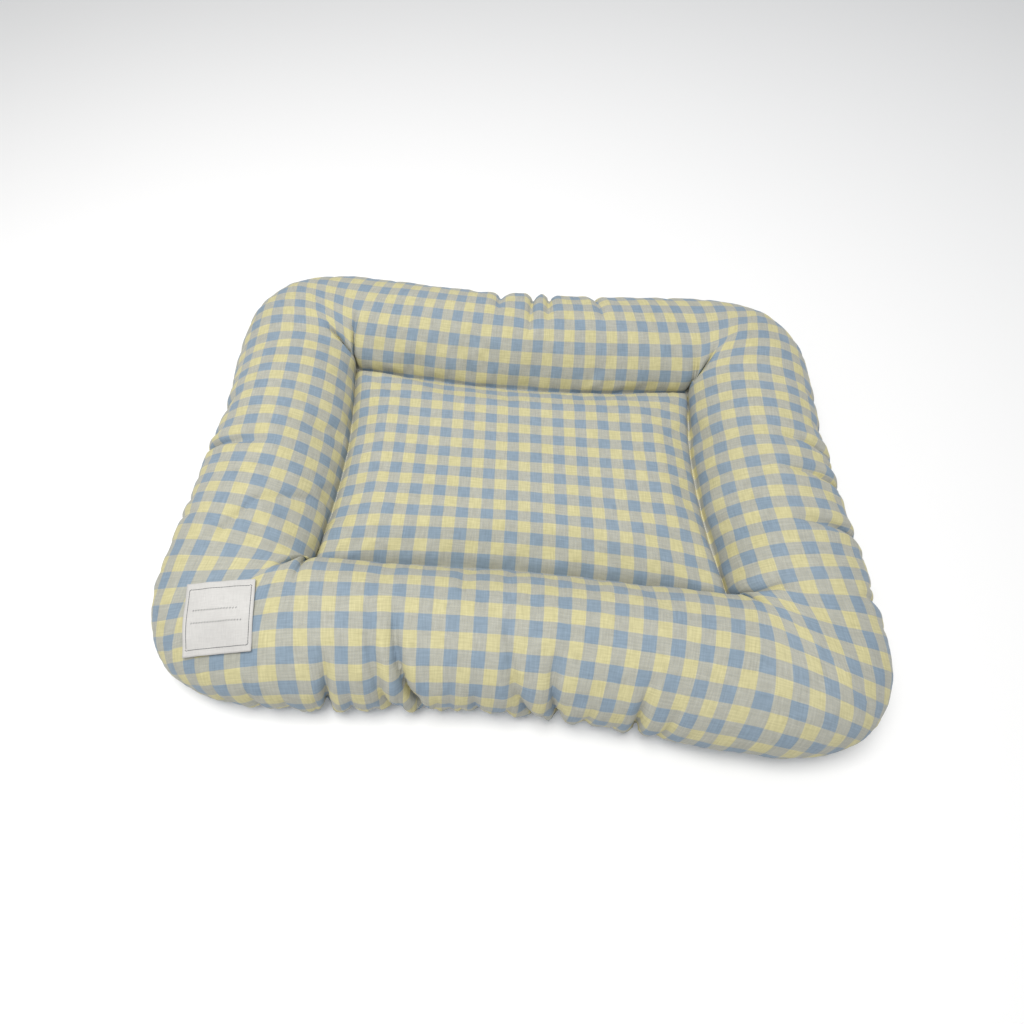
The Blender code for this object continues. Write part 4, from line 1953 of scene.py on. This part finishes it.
def small_gathers(cut: PanelCut) -> list[Fold]:
    """Spreads short uneven gathers along the outer seam.

    Args:
        cut: The flat cut.

    Returns:
        The gathers, with none near the front right corner, where the cloth lies smooth.
    """
    rng = np.random.default_rng(19)
    folds = []
    for side in Side:
        half = 0.34 if side.along_x else 0.26
        place = -half
        while place < half:
            place += rng.uniform(0.015, 0.038)
            reach, depth = rng.uniform(0.030, 0.080), rng.uniform(0.004, 0.010)
            width, lean = rng.uniform(0.0045, 0.0075), rng.uniform(-0.010, 0.010)
            if side is Side.FRONT and place > 0.17:
                continue
            if side is Side.FRONT:
                depth *= 0.6
            folds.append(cut.side_fold(side, place, reach, lean, width, depth))
    return folds


def bed_shape() -> BedShape:
    """Takes the bed's outer size, inner seam plan and outer seam height from the frame.

    The fold places, the creases and the shape's other sizes are given.

    Returns:
        The shape, with its folds placed.
    """
    low, high = CAD_BOX
    seam_low, seam_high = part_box("pad_seam_needle_thread")
    edge_low, edge_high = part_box("closing_thread")
    cut = PanelCut()
    creases = {
        (-1, -1): (CornerCrease(46, 0.085, 0.018, 0.6), CornerCrease(84, 0.085, 0.008, 0.1, 0.008)),
        (1, -1): (CornerCrease(4, 0.075, 0.018, 0.4), CornerCrease(46, 0.070, 0.012, 0.1)),
        (-1, 1): (CornerCrease(35, 0.090, 0.018, 0.4), CornerCrease(82, 0.085, 0.016, 0.3)),
        (1, 1): (CornerCrease(50, 0.085, 0.018, 0.5), CornerCrease(87, 0.065, 0.009, 0.1, 0.008)),
    }
    folds = [
        cut.side_fold(Side.FRONT, -0.085, 0.130, -0.040, 0.0060, 0.022),
        cut.side_fold(Side.FRONT, -0.125, 0.145, -0.025, 0.0090, 0.010),
        cut.side_fold(Side.FRONT, -0.205, 0.090, 0.010, 0.0065, 0.017),
        cut.side_fold(Side.FRONT, 0.035, 0.130, -0.045, 0.0080, 0.009),
        cut.side_fold(Side.FRONT, 0.060, 0.100, -0.020, 0.0060, 0.014),
        cut.side_fold(Side.FRONT, 0.145, 0.085, -0.010, 0.0065, 0.013),
        cut.side_fold(Side.RIGHT, 0.000, 0.120, 0.045, 0.0060, 0.017),
        cut.side_fold(Side.RIGHT, -0.025, 0.135, 0.020, 0.0060, 0.014),
        cut.side_fold(Side.RIGHT, -0.105, 0.135, 0.030, 0.0060, 0.019),
        cut.side_fold(Side.RIGHT, -0.175, 0.090, 0.010, 0.0065, 0.012),
        cut.side_fold(Side.RIGHT, 0.090, 0.060, 0.000, 0.0070, 0.009),
        cut.side_fold(Side.LEFT, -0.030, 0.130, 0.005, 0.0060, 0.016),
        cut.side_fold(Side.BACK, 0.025, 0.155, -0.020, 0.0060, 0.016),
        cut.side_fold(Side.BACK, 0.050, 0.145, -0.020, 0.0065, 0.013),
        cut.side_fold(Side.BACK, -0.030, 0.140, -0.010, 0.0085, 0.009),
        cut.side_fold(Side.BACK, 0.105, 0.135, 0.000, 0.0070, 0.010),
        Fold(
            np.array([(-0.330, -0.150), (-0.310, -0.105), (-0.250, -0.075)]), 0.0050, 0.007, False
        ),
    ]
    folds += [
        cut.corner_fold(corner, crease) for corner, pair in creases.items() for crease in pair
    ]
    folds += small_gathers(cut)
    swell = 1.02
    return BedShape(
        cut=cut,
        half_length=(high[0] - low[0]) / 2 * swell,
        half_width=(high[1] - low[1]) / 2 * swell,
        seam_half_length=(seam_high[0] - seam_low[0]) / 2,
        seam_half_width=(seam_high[1] - seam_low[1]) / 2,
        seam_height=(edge_low[2] + edge_high[2]) / 2,
        crest=high[2] - 0.002,
        folds=folds,
        creases=creases,
    )


def main() -> None:
    """Builds the bed in order, declares every piece, and sets the studio."""
    logging.basicConfig(level=logging.INFO, format="%(name)s: %(message)s")
    white, off_white = (0.80, 0.79, 0.75, 1.0), (0.62, 0.61, 0.58, 1.0)
    grey, dark = (0.10, 0.11, 0.12, 1.0), (0.05, 0.055, 0.06, 1.0)
    finishes = {
        "checked_cloth": GinghamFinish().material(),
        "base_cloth": PlainClothFinish(
            "base_cloth", (0.52, 0.57, 0.61, 1.0), (0.46, 0.51, 0.55, 1.0)
        ).material(),
        "label_cloth": PlainClothFinish(
            "label_cloth", (0.61, 0.60, 0.58, 1.0), (0.50, 0.49, 0.475, 1.0), yarn=0.0004
        ).material(),
        "rim_fibre": FibreFinish("rim_fibre").material(),
        "pad_fibre": FibreFinish("pad_fibre").material(),
        "seam_thread_white": ThreadFinish("seam_thread_white", white, off_white).material(),
        "label_thread_grey": ThreadFinish("label_thread_grey", grey, dark).material(),
    }
    cover = Cover(bed_shape())
    pieces = cover.build(finishes)
    for key, node, slot in (
        ("top", "top_cover", "checked_cloth"),
        ("base", "base_cover", "base_cloth"),
        ("rim", "rim_fill", "rim_fibre"),
        ("pad", "pad_fill", "pad_fibre"),
    ):
        piece = pieces[key]
        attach(piece, ROOT)
        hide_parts(node)
    for piece, node in Seams(cover).build(finishes["seam_thread_white"]):
        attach(piece, ROOT)
        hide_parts(node)
    label = Label(cover.top)
    cloth, border, dashes = label.build(finishes["label_cloth"], finishes["label_thread_grey"])
    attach(cloth, ROOT)
    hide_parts("label")
    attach(border, ROOT)
    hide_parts("label_thread")
    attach(dashes, ROOT)
    Studio().build()


if __name__ == "__main__":
    main()
